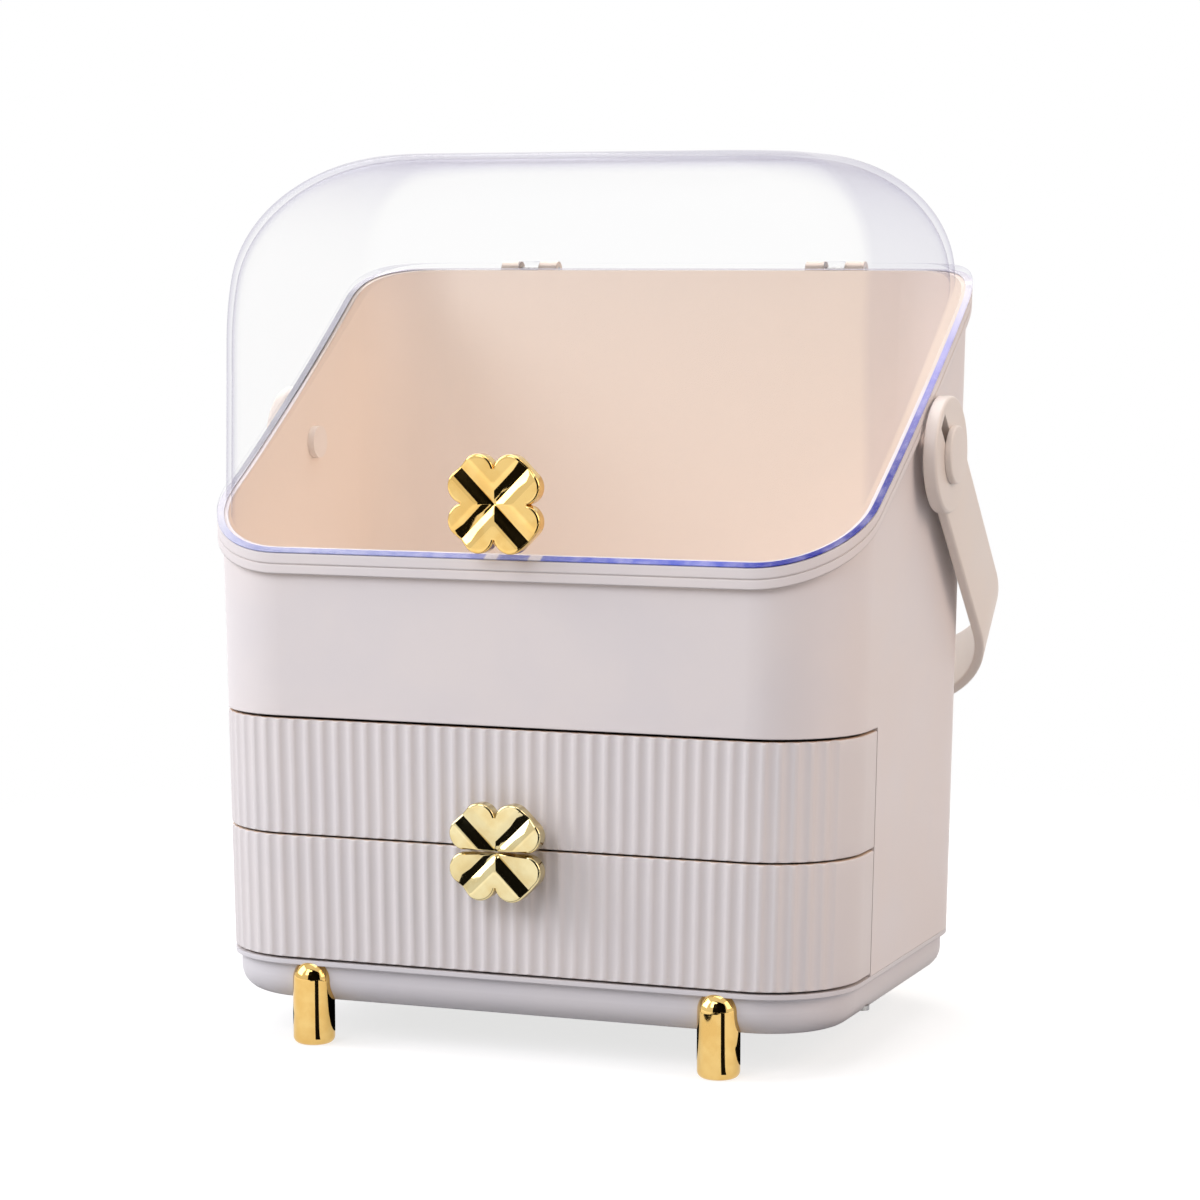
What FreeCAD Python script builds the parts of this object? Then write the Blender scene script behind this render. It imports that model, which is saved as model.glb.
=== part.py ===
import FreeCAD, Part
import math
import os
import re
import Sketcher
from FreeCAD import Placement, Rotation, Vector

# Makeup storage case with a carrying handle: a drafted case with a slanted open top,
# a clear lid hinged at the back, two ribbed drawers, a strap handle and four feet.
# Millimetres. X runs across the case, Y from front to back, Z up from the floor.

os.makedirs("parts", exist_ok=True)
doc = FreeCAD.newDocument("makeup_case")
sheet = doc.addObject("Spreadsheet::Sheet", "Sizes")

DRIVING_SIZES = [
    # case
    ("case_width_low", 284),         # at the underside of the case
    ("case_width_high", 296),        # at the top of the back wall
    ("case_depth", 205),
    ("case_corner", 40),             # corner radius seen from above
    ("case_wall", 2.5),
    ("rim_front_height", 210.5),     # top of the front wall
    ("rim_back_height", 329),        # top of the back wall
    ("rim_start", 3),                # in front of the case, where the level front ends
    ("rim_sweep", 1500),             # radius of the long hollow side rim
    ("rim_back_round", 67),          # radius that levels the rim out at the back
    ("rim_level", 1.7),              # behind the case, where that round ends level
    ("collar_height", 8.5),
    ("collar_proud", 2.4),
    ("collar_line", 4.2),            # from the rim down to the fine groove round the collar
    ("collar_line_width", 0.5),
    ("collar_line_depth", 0.4),
    ("shelf_underside", 145),        # floor of the upper compartment
    ("shelf_thickness", 2.5),
    ("front_lip", 3.3),              # how far the front wall reaches below the shelf
    ("wrap_depth", 53),              # how far the drawer fronts reach round the sides
    # base and feet
    ("base_underside", 18),
    ("base_top", 36.4),
    ("base_inset", 2.6),
    ("base_bead", 2),
    ("base_round", 10),
    ("base_wall", 2.5),
    ("foot_width", 18),
    ("foot_height", 37),
    ("foot_proud", 4),               # in front of the case
    ("foot_spacing", 184),
    ("foot_edge", 3),
    ("foot_screw_radius", 1.5),
    ("foot_screw_length", 14),
    ("foot_pad", 1.5),               # thickening inside the pan under a foot screw's head
    ("screw_head_radius", 3),
    ("screw_head_height", 2),
    ("base_screw_length", 22),
    ("base_screw_radius", 1.5),
    ("boss_radius", 4),
    ("boss_length", 16),
    ("boss_bite", 0.6),              # how far a boss sinks into the wall beside it
    ("boss_behind", 9),              # front pair of base screws, behind the drawer fronts' ends
    ("boss_turn", 30),               # degrees round the back corner to the rear pair
    # drawers
    ("front_split", 90.7),           # the line between the two drawers
    ("seam", 0.9),                   # gap round a drawer front
    ("front_wall", 2.8),
    ("flute_pitch", 6.75),
    ("flute_radius", 4.2),
    ("flute_depth", 0.9),
    ("flute_turn", 57),              # degrees of the corner that are fluted
    ("box_wall", 2),
    ("box_back_gap", 5),
    ("box_corner", 32),
    ("box_top_gap", 3),
    ("box_lift", 2.4),               # drawer floor above its front's lower edge
    ("runner_height", 14),
    ("runner_ledge", 8),
    ("runner_plate", 2),
    ("runner_depth", 8.1),           # from the side wall to the drawer box's side of the runner
    ("runner_start", 19),            # behind the drawer fronts' ends
    ("runner_stop", 35),             # before the back of the case
    ("runner_play", 0.4),
    ("front_screw_spacing", 150),
    # lid
    ("lid_inset", 1),
    ("lid_wall", 2.2),
    ("lid_rise", 50.5),              # from the rim at the back to the top of the lid
    ("lid_front_round", 80),
    ("lid_side_round", 54),
    ("lid_back_round", 48),
    ("lid_lean", 3),                 # each side leans in by this much over its height
    ("lid_corner_share", 0.25),      # of what a side draws in, taken off its corner radius
    ("lid_flange_height", 3),
    ("lid_gap", 0.3),
    ("hinge_spacing", 150),
    ("hinge_radius", 4),
    ("hinge_pin_radius", 1.5),
    ("hinge_play", 0.05),
    ("hinge_play_round", 0.6),       # between a knuckle and the collar and flange beside it
    ("knuckle_length", 9),
    ("knuckle_gap", 0.4),
    # knobs
    ("lobe_radius", 7.25),
    ("lobe_near", 7.1),
    ("lobe_far", 13.2),
    ("knob_thickness", 5.5),
    ("knob_standoff", 8),
    ("knob_groove", 1.8),
    ("knob_groove_width", 11.6),
    ("knob_stem_radius", 4),
    ("knob_screw_radius", 1.5),
    ("knob_skin", 1),                # left beyond the blind end of a screw hole
    ("drawer_stem_offset", 8.2),     # from the line between the drawers to a half clover's stem
    ("lid_knob_rise", 24.3),         # from the front rim to the middle of the lid's clover
    # handle
    ("pivot_drop", 31.1),         # from the side rim down to the pivot
    ("pivot_back", 86.5),            # from the back of the case forward to the pivot
    ("strap_width", 39),
    ("strap_thickness", 4.4),
    ("strap_inside", 154),           # from the pivot to the inside of the grip
    ("strap_corner", 60),
    ("strap_play", 0.3),             # between the strap and what it swings past
    ("head_radius", 25),
    ("head_thickness", 6),
    ("keyway_width", 8),             # slot in a head beyond the cap, through which it was put on
    ("keyway_reach", 21),
    ("hang_angle", 46),
    ("grip_recess", 2),
    ("grip_lip", 3),
    ("grip_rib", 2),
    ("grip_recess_length", 190),
    ("stud_radius", 4),
    ("stud_play", 0.05),
    ("cap_radius", 12.5),
    ("cap_thickness", 3),
    ("inner_cap_radius", 7.2),
    ("inner_cap_thickness", 2),
    ("overrun", 20),                 # how far a cutter runs past what it cuts
]
SLOPE_RUN = "(case_depth + rim_level + rim_start)"
SLOPE_RISE = "(rim_back_height - rim_back_round - rim_front_height)"
SLOPE_SHARE = ("(2 * rim_sweep * rim_back_round + rim_back_round ^ 2 - %s ^ 2 - %s ^ 2) / (2 * rim_sweep)"
               % (SLOPE_RUN, SLOPE_RISE))
DERIVED_SIZES = {
    # the slope at which the side rim starts, so that the sweep and the back round meet smoothly
    "rim_slope": "(atan2(%s; %s) + asin(%s / sqrt(%s ^ 2 + %s ^ 2)))"
                 % (SLOPE_RISE, SLOPE_RUN, SLOPE_SHARE, SLOPE_RUN, SLOPE_RISE),
    "front_wall_bottom": "(shelf_underside - front_lip)",
    "lid_height": "(rim_back_height + lid_rise)",
    "lid_knob_height": "(rim_front_height + lid_knob_rise)",
    "pivot_depth": "(case_depth - pivot_back)",
    "box_width": "(case_width_low - 2 * (case_wall + runner_depth + runner_play))",
    # the height of the side rim's hollow sweep above the pivot, less the drop
    "pivot_height": "(rim_front_height + rim_sweep * (cos(rim_slope) - sqrt(1 - ((pivot_depth + rim_start)"
                    " / rim_sweep + sin(rim_slope)) ^ 2)) - pivot_drop)",
}
names = [name for name, number in DRIVING_SIZES]
for row, (name, number) in enumerate(DRIVING_SIZES, start=1):
    sheet.set("A%d" % row, name)
    sheet.set("B%d" % row, str(number))
    sheet.setAlias("B%d" % row, name)
doc.recompute()


def spelt(text):
    """The expression text with every cell name spelt as Sizes.name, and every derived size written out."""
    while any(word in DERIVED_SIZES for word in re.findall("[a-z_]+", text)):
        text = re.sub("[a-z_]+", lambda word: DERIVED_SIZES.get(word.group(), word.group()), text)
    return re.sub("[a-z_]+", lambda word: "Sizes." + word.group() if word.group() in names else word.group(), text)


def value(text):
    """The number that an expression of cell names gives now."""
    return float(sheet.evalExpression(spelt(text)))


def bind(thing, **expressions):
    """Bind properties of an object; a double underscore stands for a dot."""
    for path, text in expressions.items():
        thing.setExpression(path.replace("__", "."), spelt(text))
    return thing


def add(kind, name, **expressions):
    """A new document object with its sizes bound to the sheet."""
    return bind(doc.addObject(kind, name), **expressions)


TILT_UP = Rotation(Vector(1, 0, 0), 90)          # a sketch's own Y turned to Z, facing the front
SIDEWAYS = Rotation(Vector(1, 1, 1), 120)        # a sketch's own X and Y turned to Y and Z
ALONG_X = Rotation(Vector(0, 1, 0), 90)          # an upright cylinder laid along X
ACROSS = ("-case_width_high", "case_width_high") # past both sides of the case
SIDES = (("left", -1), ("right", 1))


def cylinder(name, radius, height, x="0", y="0", z="0", rotation=Rotation()):
    """A cylinder that stands on its centre point, turned by the rotation."""
    thing = add("Part::Cylinder", name, Radius=radius, Height=height)
    thing.Placement.Rotation = rotation
    return bind(thing, Placement__Base__x=x, Placement__Base__y=y, Placement__Base__z=z)


def block(name, x, y, z):
    """A box between pairs of limits along X, Y and Z."""
    size = {"Length": x, "Width": y, "Height": z}
    thing = add("Part::Box", name, **{side: "(%s) - (%s)" % (high, low) for side, (low, high) in size.items()})
    return bind(thing, Placement__Base__x=x[0], Placement__Base__y=y[0], Placement__Base__z=z[0])


def joined(kind, name, pieces):
    """A multi-object boolean: Part::MultiFuse or Part::MultiCommon."""
    thing = doc.addObject(kind, name)
    thing.Shapes = pieces
    return thing


def fuse(name, *pieces):
    return joined("Part::MultiFuse", name, list(pieces))


def common(name, *pieces):
    return joined("Part::MultiCommon", name, list(pieces))


def cut(name, base, *tools):
    """The base with every tool taken away."""
    thing = doc.addObject("Part::Cut", name)
    thing.Base = base
    thing.Tool = tools[0] if len(tools) == 1 else fuse(name + "_tools", *tools)
    return thing


def prism(name, sketch, length, both_ways=False):
    """A sketch drawn out along its normal, or by half the length to both sides."""
    thing = doc.addObject("Part::Extrusion", name)
    thing.Base = sketch
    thing.DirMode = "Normal"
    thing.Solid = True
    thing.Symmetric = both_ways
    return bind(thing, LengthFwd=length)


def grouped(name, pieces):
    """Separate solids kept together as one sub-part."""
    group = doc.addObject("Part::Compound", name)
    group.Links = pieces
    return group


def lofted(name, *sketches):
    """A solid ruled from one level sketch to the next."""
    thing = doc.addObject("Part::Loft", name)
    thing.Sections = list(sketches)
    thing.Solid = True
    thing.Ruled = True
    return thing


def fixed(sketch, kind, *places, size):
    """A dimension of a sketch, bound to the sheet."""
    index = sketch.addConstraint(Sketcher.Constraint(kind, *places, value(size)))
    sketch.setExpression("Constraints[%d]" % index, spelt(size))


def rounded_outline(name, half_width, low, high, radius, z="0", rotation=Rotation()):
    """A rectangle with round corners, even about its own Y axis, from low to high along that axis."""
    sketch = doc.addObject("Sketcher::SketchObject", name)
    x, y_low, y_high, r = value(half_width), value(low), value(high), value(radius)
    quarter = math.pi / 2
    up = Vector(0, 0, 1)
    sketch.addGeometry([
        Part.LineSegment(Vector(r - x, y_low, 0), Vector(x - r, y_low, 0)),
        Part.ArcOfCircle(Part.Circle(Vector(x - r, y_low + r, 0), up, r), 3 * quarter, 4 * quarter),
        Part.LineSegment(Vector(x, y_low + r, 0), Vector(x, y_high - r, 0)),
        Part.ArcOfCircle(Part.Circle(Vector(x - r, y_high - r, 0), up, r), 0, quarter),
        Part.LineSegment(Vector(x - r, y_high, 0), Vector(r - x, y_high, 0)),
        Part.ArcOfCircle(Part.Circle(Vector(r - x, y_high - r, 0), up, r), quarter, 2 * quarter),
        Part.LineSegment(Vector(-x, y_high - r, 0), Vector(-x, y_low + r, 0)),
        Part.ArcOfCircle(Part.Circle(Vector(r - x, y_low + r, 0), up, r), 2 * quarter, 3 * quarter),
    ])
    for side in range(8):
        sketch.addConstraint(Sketcher.Constraint("Tangent", side, 2, (side + 1) % 8, 1))
    for line, kind in ((2, "Vertical"), (4, "Horizontal"), (6, "Vertical")):
        sketch.addConstraint(Sketcher.Constraint(kind, line))
    for arc in (3, 5, 7):
        sketch.addConstraint(Sketcher.Constraint("Equal", 1, arc))
    sketch.addConstraint(Sketcher.Constraint("Symmetric", 0, 1, 0, 2, -2))
    fixed(sketch, "Radius", 1, size=radius)
    fixed(sketch, "DistanceX", -1, 1, 2, 1, size=half_width)
    fixed(sketch, "DistanceY", -1, 1, 0, 1, size=low)
    fixed(sketch, "DistanceY", -1, 1, 4, 1, size=high)
    sketch.Placement.Rotation = rotation
    return bind(sketch, Placement__Base__z=z)


def half_width(height, grow="0"):
    """Half the width of the drafted case at a height, grown outwards."""
    spread = "(case_width_high - case_width_low) / (rim_back_height - base_top)"
    return "(case_width_low + %s * (%s - base_top)) / 2 + (%s)" % (spread, height, grow)


def case_form(name, grow, bottom, top):
    """The drafted outside of the case between two heights, grown outwards."""
    levels = [
        rounded_outline("%s_level_%d" % (name, index), half_width(height, grow), "-(%s)" % grow,
                        "case_depth + (%s)" % grow, "case_corner + (%s)" % grow, z=height)
        for index, height in enumerate((bottom, top))
    ]
    return lofted(name, *levels)


def under_rim(name, rise):
    """Everything under the slanted rim line, raised by rise: level, a long hollow sweep, then a round."""
    sketch = doc.addObject("Sketcher::SketchObject", name + "_line")
    far = value("overrun")
    start = Vector(-value("rim_start"), value("rim_front_height"), 0)
    slope = math.radians(value("rim_slope"))
    sweep, back_round = value("rim_sweep"), value("rim_back_round")
    hollow = start + Vector(-math.sin(slope), math.cos(slope), 0) * sweep
    back = value("rim_back_height")
    drop = hollow.y - (back - back_round)
    crest = Vector(hollow.x + math.sqrt((sweep + back_round) ** 2 - drop ** 2), back - back_round, 0)
    turn = math.atan2(crest.y - hollow.y, crest.x - hollow.x)
    meeting = hollow + (crest - hollow) * (sweep / (sweep + back_round))
    level = Vector(crest.x, back, 0)
    right = value("case_depth") + far
    up = Vector(0, 0, 1)
    sketch.addGeometry([
        Part.LineSegment(Vector(-far, 0, 0), Vector(-far, start.y, 0)),
        Part.LineSegment(Vector(-far, start.y, 0), start),
        Part.ArcOfCircle(Part.Circle(hollow, up, sweep), slope - math.pi / 2, turn),
        Part.ArcOfCircle(Part.Circle(crest, up, back_round), math.pi / 2, turn + math.pi),
        Part.LineSegment(level, Vector(right, back, 0)),
        Part.LineSegment(Vector(right, back, 0), Vector(right, 0, 0)),
        Part.LineSegment(Vector(right, 0, 0), Vector(-far, 0, 0)),
    ])
    for first, second in ((0, 1), (1, 2), (4, 5), (5, 6), (6, 0)):
        sketch.addConstraint(Sketcher.Constraint("Coincident", first, 2, second, 1))
    sketch.addConstraint(Sketcher.Constraint("Tangent", 2, 2, 3, 2))
    sketch.addConstraint(Sketcher.Constraint("Tangent", 3, 1, 4, 1))
    for line, kind in ((0, "Vertical"), (1, "Horizontal"), (4, "Horizontal"), (5, "Vertical")):
        sketch.addConstraint(Sketcher.Constraint(kind, line))
    sketch.addConstraint(Sketcher.Constraint("PointOnObject", 6, 1, -1))
    sketch.addConstraint(Sketcher.Constraint("PointOnObject", 6, 2, -1))
    fixed(sketch, "DistanceX", 0, 1, -1, 1, size="overrun")
    fixed(sketch, "DistanceX", -1, 1, 5, 1, size="case_depth + overrun")
    fixed(sketch, "DistanceX", 1, 2, -1, 1, size="rim_start")
    fixed(sketch, "DistanceY", -1, 1, 1, 2, size="rim_front_height")
    fixed(sketch, "DistanceX", 2, 3, 1, 2, size="rim_sweep * sin(rim_slope)")
    fixed(sketch, "DistanceY", 1, 2, 2, 3, size="rim_sweep * cos(rim_slope)")
    fixed(sketch, "Radius", 3, size="rim_back_round")
    fixed(sketch, "DistanceY", -1, 1, 4, 1, size="rim_back_height")
    sketch.Placement.Rotation = SIDEWAYS
    bind(sketch, Placement__Base__z=rise)
    return prism(name, sketch, "2 * case_width_high", both_ways=True)


# ---- case body: one moulding with walls, shelf, collar, bosses and hinge knuckles ----

hinge_y = "case_depth + collar_proud + hinge_play_round + hinge_radius"
strap_x = "(%s)" % half_width("rim_back_height", "collar_proud + strap_play")


def case_body():
    below = under_rim("case_top", "0")
    walls = common("case_walls", case_form("case_outside", "0", "base_top", "rim_back_height"), below)
    band = cut("collar", common("collar_stock", case_form("collar_outside", "collar_proud",
               "rim_front_height - 3 * collar_height", "rim_back_height"), below),
               under_rim("collar_underside", "-collar_height"))
    inside = case_form("case_inside", "-case_wall", "base_top - overrun", "rim_back_height + overrun")
    shelf = block("shelf", ACROSS, ("-overrun", "case_depth + overrun"),
                  ("shelf_underside", "shelf_underside + shelf_thickness"))
    mouth = block("drawer_mouth", ACROSS, ("-overrun", "wrap_depth + seam"),
                  ("base_top - overrun", "front_wall_bottom"))
    line = cut("collar_groove", common("collar_groove_stock", case_form("collar_groove_outside",
               "collar_proud + collar_line_depth", "rim_front_height - 3 * collar_height", "rim_back_height"),
               under_rim("collar_groove_top", "-collar_line")),
               case_form("collar_groove_floor", "collar_proud - collar_line_depth",
                         "rim_front_height - 3 * collar_height", "rim_back_height"),
               under_rim("collar_groove_bottom", "-collar_line - collar_line_width"))
    shell = cut("case_shell", fuse("case_solid", walls, band), cut("case_hollow", inside, shelf), mouth, line)
    additions = [shell]
    holes = []
    for index, (x, y) in enumerate(boss_places()):
        additions.append(cylinder("case_boss_%d" % index, "boss_radius", "boss_length", x, y, "base_top"))
        holes.append(cylinder("case_boss_hole_%d" % index, "base_screw_radius", "boss_length - knob_skin", x, y,
                              "base_top"))
    for side, sign in SIDES:
        turn = Rotation(Vector(0, 1, 0), 90 * sign)
        wall = "%d * (%s)" % (sign, half_width("pivot_height", "-case_wall / 2"))
        reach = "%s - strap_play / 2 - (%s)" % (strap_x, half_width("pivot_height", "-case_wall / 2"))
        additions.append(cylinder("pivot_boss_" + side, "cap_radius", reach, wall, "pivot_depth", "pivot_height", turn))
        start = "%d * (%s - overrun)" % (sign, strap_x)
        holes.append(cylinder("pivot_hole_" + side, "stud_radius", "2 * overrun", start, "pivot_depth",
                              "pivot_height", turn))
    for side, x in hinge_places():
        for place, sign in (("outer", -1), ("inner", 1)):
            near = "%s + %d * (knuckle_length / 2 + knuckle_gap)" % (x, sign)
            far = "%s + %d * (knuckle_length * 1.5 + knuckle_gap)" % (x, sign)
            span = (near, far) if sign > 0 else (far, near)
            name = "case_knuckle_%s_%s" % (side, place)
            additions.append(cylinder(name, "hinge_radius", "knuckle_length", span[0], hinge_y, "rim_back_height",
                                      ALONG_X))
            additions.append(block(name + "_web", span, ("case_depth", hinge_y),
                                   ("rim_back_height - hinge_radius", "rim_back_height - lid_gap")))
        holes.append(cylinder("case_hinge_hole_" + side, "hinge_pin_radius", "2 * (knuckle_length + overrun)",
                              "%s - knuckle_length - overrun" % x, hinge_y, "rim_back_height", ALONG_X))
    return cut("case_body", fuse("case_with_bosses", *additions), *holes)


def hinge_places():
    return (("left", "-hinge_spacing / 2"), ("right", "hinge_spacing / 2"))


def boss_places():
    """Where the four base screws stand: two behind the drawer fronts, two in the back corners."""
    front = half_width("base_top", "boss_bite - case_wall - boss_radius")
    reach = "(case_corner - case_wall - boss_radius + boss_bite)"
    back = half_width("base_top", "-case_corner + %s * cos(boss_turn)" % reach)
    back_y = "case_depth - case_corner + %s * sin(boss_turn)" % reach
    return [("-(%s)" % front, "(wrap_depth + boss_behind)"), (front, "(wrap_depth + boss_behind)"), ("-(%s)" % back, back_y), (back, back_y)]


# ---- base tray: a shallow pan with a bead round its top ----

def foot_places():
    """Name, centre and screw place of each foot."""
    axis = "foot_width / 2 - foot_proud"
    screw = "base_inset + base_round - foot_screw_radius"
    places = []
    for side, x in (("left", "-foot_spacing / 2"), ("right", "foot_spacing / 2")):
        places.append(("front_" + side, x, axis, screw))
        places.append(("rear_" + side, x, "case_depth - (%s)" % axis, "case_depth - (%s)" % screw))
    return places


def base_form(name, grow, bottom, top, radius):
    """A prism of the pan's outline with a rounded lower edge."""
    outline = rounded_outline(name + "_outline", "case_width_low / 2 - base_inset + (%s)" % grow,
                              "base_inset - (%s)" % grow, "case_depth - base_inset + (%s)" % grow,
                              "case_corner - base_inset + (%s)" % grow, z=bottom)
    upright = prism(name + "_prism", outline, "(%s) - (%s)" % (top, bottom))
    doc.recompute()
    level = value(bottom)
    low = [number for number, edge in enumerate(upright.Shape.Edges, start=1)
           if abs(edge.BoundBox.ZMax - level) < 1e-6 and abs(edge.BoundBox.ZMin - level) < 1e-6]
    rounded = doc.addObject("Part::Fillet", name)
    rounded.Base = upright
    rounded.Edges = [(number, value(radius), value(radius)) for number in low]
    return rounded


def base_tray():
    pan = base_form("pan_outside", "0", "base_underside", "base_top", "base_round")
    bead = case_form("base_bead_form", "0", "base_top - base_bead", "base_top")
    inside = base_form("pan_inside", "-base_wall", "base_underside + base_wall", "base_top + overrun",
                       "base_round - base_wall")
    kept = []
    holes = []
    for index, (x, y) in enumerate(boss_places()):
        kept.append(cylinder("pan_boss_%d" % index, "boss_radius", "base_top - base_underside", x, y, "base_underside"))
        holes.append(cylinder("pan_hole_%d" % index, "base_screw_radius", "2 * overrun", x, y, "base_underside"))
        holes.append(cylinder("pan_counterbore_%d" % index, "screw_head_radius",
                              "base_wall + screw_head_height", x, y, "base_underside"))
    for place, x, y, screw in foot_places():
        kept.append(cylinder("pan_pad_" + place, "boss_radius", "base_wall + foot_pad", x, screw, "base_underside"))
        holes.append(cylinder("pan_foot_hole_" + place, "foot_screw_radius", "overrun", x, screw,
                              "base_underside - foot_screw_radius"))
    return cut("base_tray", fuse("pan_with_bead", pan, bead), cut("pan_hollow", inside, *kept), *holes)


def base_screws():
    screws = []
    for index, (x, y) in enumerate(boss_places()):
        seat = "base_underside + base_wall + screw_head_height"
        head = cylinder("base_screw_head_%d" % index, "screw_head_radius", "screw_head_height", x, y,
                        seat + " - screw_head_height")
        shank = cylinder("base_screw_shank_%d" % index, "base_screw_radius", "base_screw_length", x, y, seat)
        screws.append(fuse("base_screw_%d" % index, head, shank))
    return grouped("base_screws", screws)


# ---- feet: gold capsules that hug the rounded edge of the base ----

def foot(place, x, y, seat):
    outline = doc.addObject("Sketcher::SketchObject", "foot_profile_" + place)
    r, edge, tall = value("foot_width / 2"), value("foot_edge"), value("foot_height")
    up = Vector(0, 0, 1)
    outline.addGeometry([
        Part.LineSegment(Vector(0, tall, 0), Vector(0, 0, 0)),
        Part.LineSegment(Vector(0, 0, 0), Vector(r - edge, 0, 0)),
        Part.ArcOfCircle(Part.Circle(Vector(r - edge, edge, 0), up, edge), -math.pi / 2, 0),
        Part.LineSegment(Vector(r, edge, 0), Vector(r, tall - r, 0)),
        Part.ArcOfCircle(Part.Circle(Vector(0, tall - r, 0), up, r), 0, math.pi / 2),
    ])
    outline.addConstraint(Sketcher.Constraint("Coincident", 0, 2, 1, 1))
    outline.addConstraint(Sketcher.Constraint("Coincident", 0, 2, -1, 1))
    outline.addConstraint(Sketcher.Constraint("Coincident", 4, 2, 0, 1))
    outline.addConstraint(Sketcher.Constraint("Vertical", 0))
    outline.addConstraint(Sketcher.Constraint("Horizontal", 1))
    outline.addConstraint(Sketcher.Constraint("Vertical", 3))
    outline.addConstraint(Sketcher.Constraint("Tangent", 1, 2, 2, 1))
    outline.addConstraint(Sketcher.Constraint("Tangent", 2, 2, 3, 1))
    outline.addConstraint(Sketcher.Constraint("Tangent", 3, 2, 4, 1))
    outline.addConstraint(Sketcher.Constraint("PointOnObject", 4, 3, -2))
    fixed(outline, "Radius", 2, size="foot_edge")
    fixed(outline, "Radius", 4, size="foot_width / 2")
    fixed(outline, "DistanceY", 0, 2, 0, 1, size="foot_height")
    outline.Placement.Rotation = TILT_UP
    bind(outline, Placement__Base__x=x, Placement__Base__y=y)
    capsule = doc.addObject("Part::Revolution", "foot_capsule_" + place)
    capsule.Source = outline
    capsule.Axis = Vector(0, 0, 1)
    capsule.Angle = 360
    capsule.Solid = True
    bind(capsule, Base__x=x, Base__y=y)
    hole = cylinder("foot_hole_" + place, "foot_screw_radius", "foot_screw_length",
                    x, seat, "base_underside + base_wall + foot_pad - foot_screw_length")
    return cut("foot_" + place, capsule, seat_form(), hole)


def seat_form():
    """What the feet leave free: the outside of the base, drawn on upwards."""
    if doc.getObject("foot_seat") is None:
        pan = base_form("foot_seat_pan", "0", "base_underside", "base_top + foot_height", "base_round")
        bead = case_form("foot_seat_bead", "0", "base_top - base_bead", "base_top + foot_height")
        fuse("foot_seat", pan, bead)
    return doc.getObject("foot_seat")


def foot_screws():
    screws = []
    for place, x, y, seat in foot_places():
        level = "base_underside + base_wall + foot_pad"
        head = cylinder("foot_screw_head_" + place, "screw_head_radius", "screw_head_height", x, seat, level)
        shank = cylinder("foot_screw_shank_" + place, "foot_screw_radius", "foot_screw_length", x, seat,
                         level + " - foot_screw_length")
        screws.append(fuse("foot_screw_" + place, head, shank))
    return grouped("foot_screws", screws)


# ---- lid: a clear dome cut along the rim, with a flange, hinge knuckles and a knob ----

LID_STEPS = 10


def dome(name, grow, bottom):
    """The rounded lid form: straight drafted sides, and level outlines that draw in above them."""
    top = "(lid_height + (%s))" % grow
    shoulder = top + " - lid_front_round"
    sides = [lid_outline("%s_side_%d" % (name, index), grow, top, height)
             for index, height in enumerate((bottom, "rim_front_height", shoulder))]
    rounds = [lid_outline("%s_round_%d" % (name, index), grow, top, "%s + lid_front_round * sin(%d)"
                          % (shoulder, 90 * index / LID_STEPS)) for index in range(LID_STEPS + 1)]
    crown = doc.addObject("Part::Loft", name + "_crown")
    crown.Sections = rounds
    crown.Solid = True
    crown.Ruled = False
    return fuse(name, lofted(name + "_sides", *sides), crown)


def lid_outline(name, grow, top, height):
    side = pulled_in(height, top, "lid_side_round")
    lean = "lid_lean * max(0; (%s) - rim_front_height) / (lid_height - rim_front_height)" % height
    width = half_width("min(%s; rim_front_height)" % height, "%s - lid_inset - (%s) - (%s)" % (grow, side, lean))
    front = "lid_inset - (%s) + (%s)" % (grow, pulled_in(height, top, "lid_front_round"))
    back = "case_depth - lid_inset + (%s) - (%s)" % (grow, pulled_in(height, top, "lid_back_round"))
    radius = "case_corner - lid_inset + (%s) - lid_corner_share * (%s)" % (grow, side)
    return rounded_outline(name, width, front, back, radius, z=height)


def pulled_in(height, top, radius):
    """How far a round of that radius has drawn the outline in at a height."""
    return "%s * (1 - cos(asin(min(1; max(0; 1 - (%s - (%s)) / %s)))))" % (radius, top, height, radius)


def lid_shell():
    outside = dome("lid_outside", "0", "rim_front_height - overrun")
    inside = dome("lid_inside", "-lid_wall", "rim_front_height - 2 * overrun")
    edge = under_rim("lid_edge", "lid_gap")
    flange_top = under_rim("lid_flange_top", "lid_gap + lid_flange_height")
    flange = cut("lid_flange", common("lid_flange_stock", case_form("lid_flange_form", "collar_proud",
                 "rim_front_height - overrun", "rim_back_height + overrun"), flange_top), edge)
    shell = cut("lid_bare", fuse("lid_solid", cut("lid_dome", outside, edge), flange), inside)
    additions = [shell]
    holes = []
    for side, x in hinge_places():
        span = ("%s - knuckle_length / 2" % x, "%s + knuckle_length / 2" % x)
        additions.append(cylinder("lid_knuckle_" + side, "hinge_radius", "knuckle_length", span[0], hinge_y,
                                  "rim_back_height", ALONG_X))
        additions.append(block("lid_web_" + side, span, ("case_depth", hinge_y),
                               ("rim_back_height + lid_gap", "rim_back_height + hinge_radius")))
        holes.append(cylinder("lid_hinge_hole_" + side, "hinge_pin_radius + hinge_play", "knuckle_length * 3",
                              "%s - knuckle_length * 1.5" % x, hinge_y, "rim_back_height", ALONG_X))
    holes.append(cylinder("lid_screw_hole", "knob_screw_radius", "2 * overrun", "0", "overrun", "lid_knob_height",
                          TILT_UP))
    return cut("lid_shell", fuse("lid_with_knuckles", *additions), *holes)


def hinge_pin(side, x):
    length = "(knuckle_length * 3 + knuckle_gap * 2)"
    return cylinder("hinge_pin_" + side, "hinge_pin_radius", length, "%s - %s / 2" % (x, length), hinge_y,
                    "rim_back_height", ALONG_X)


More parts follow.
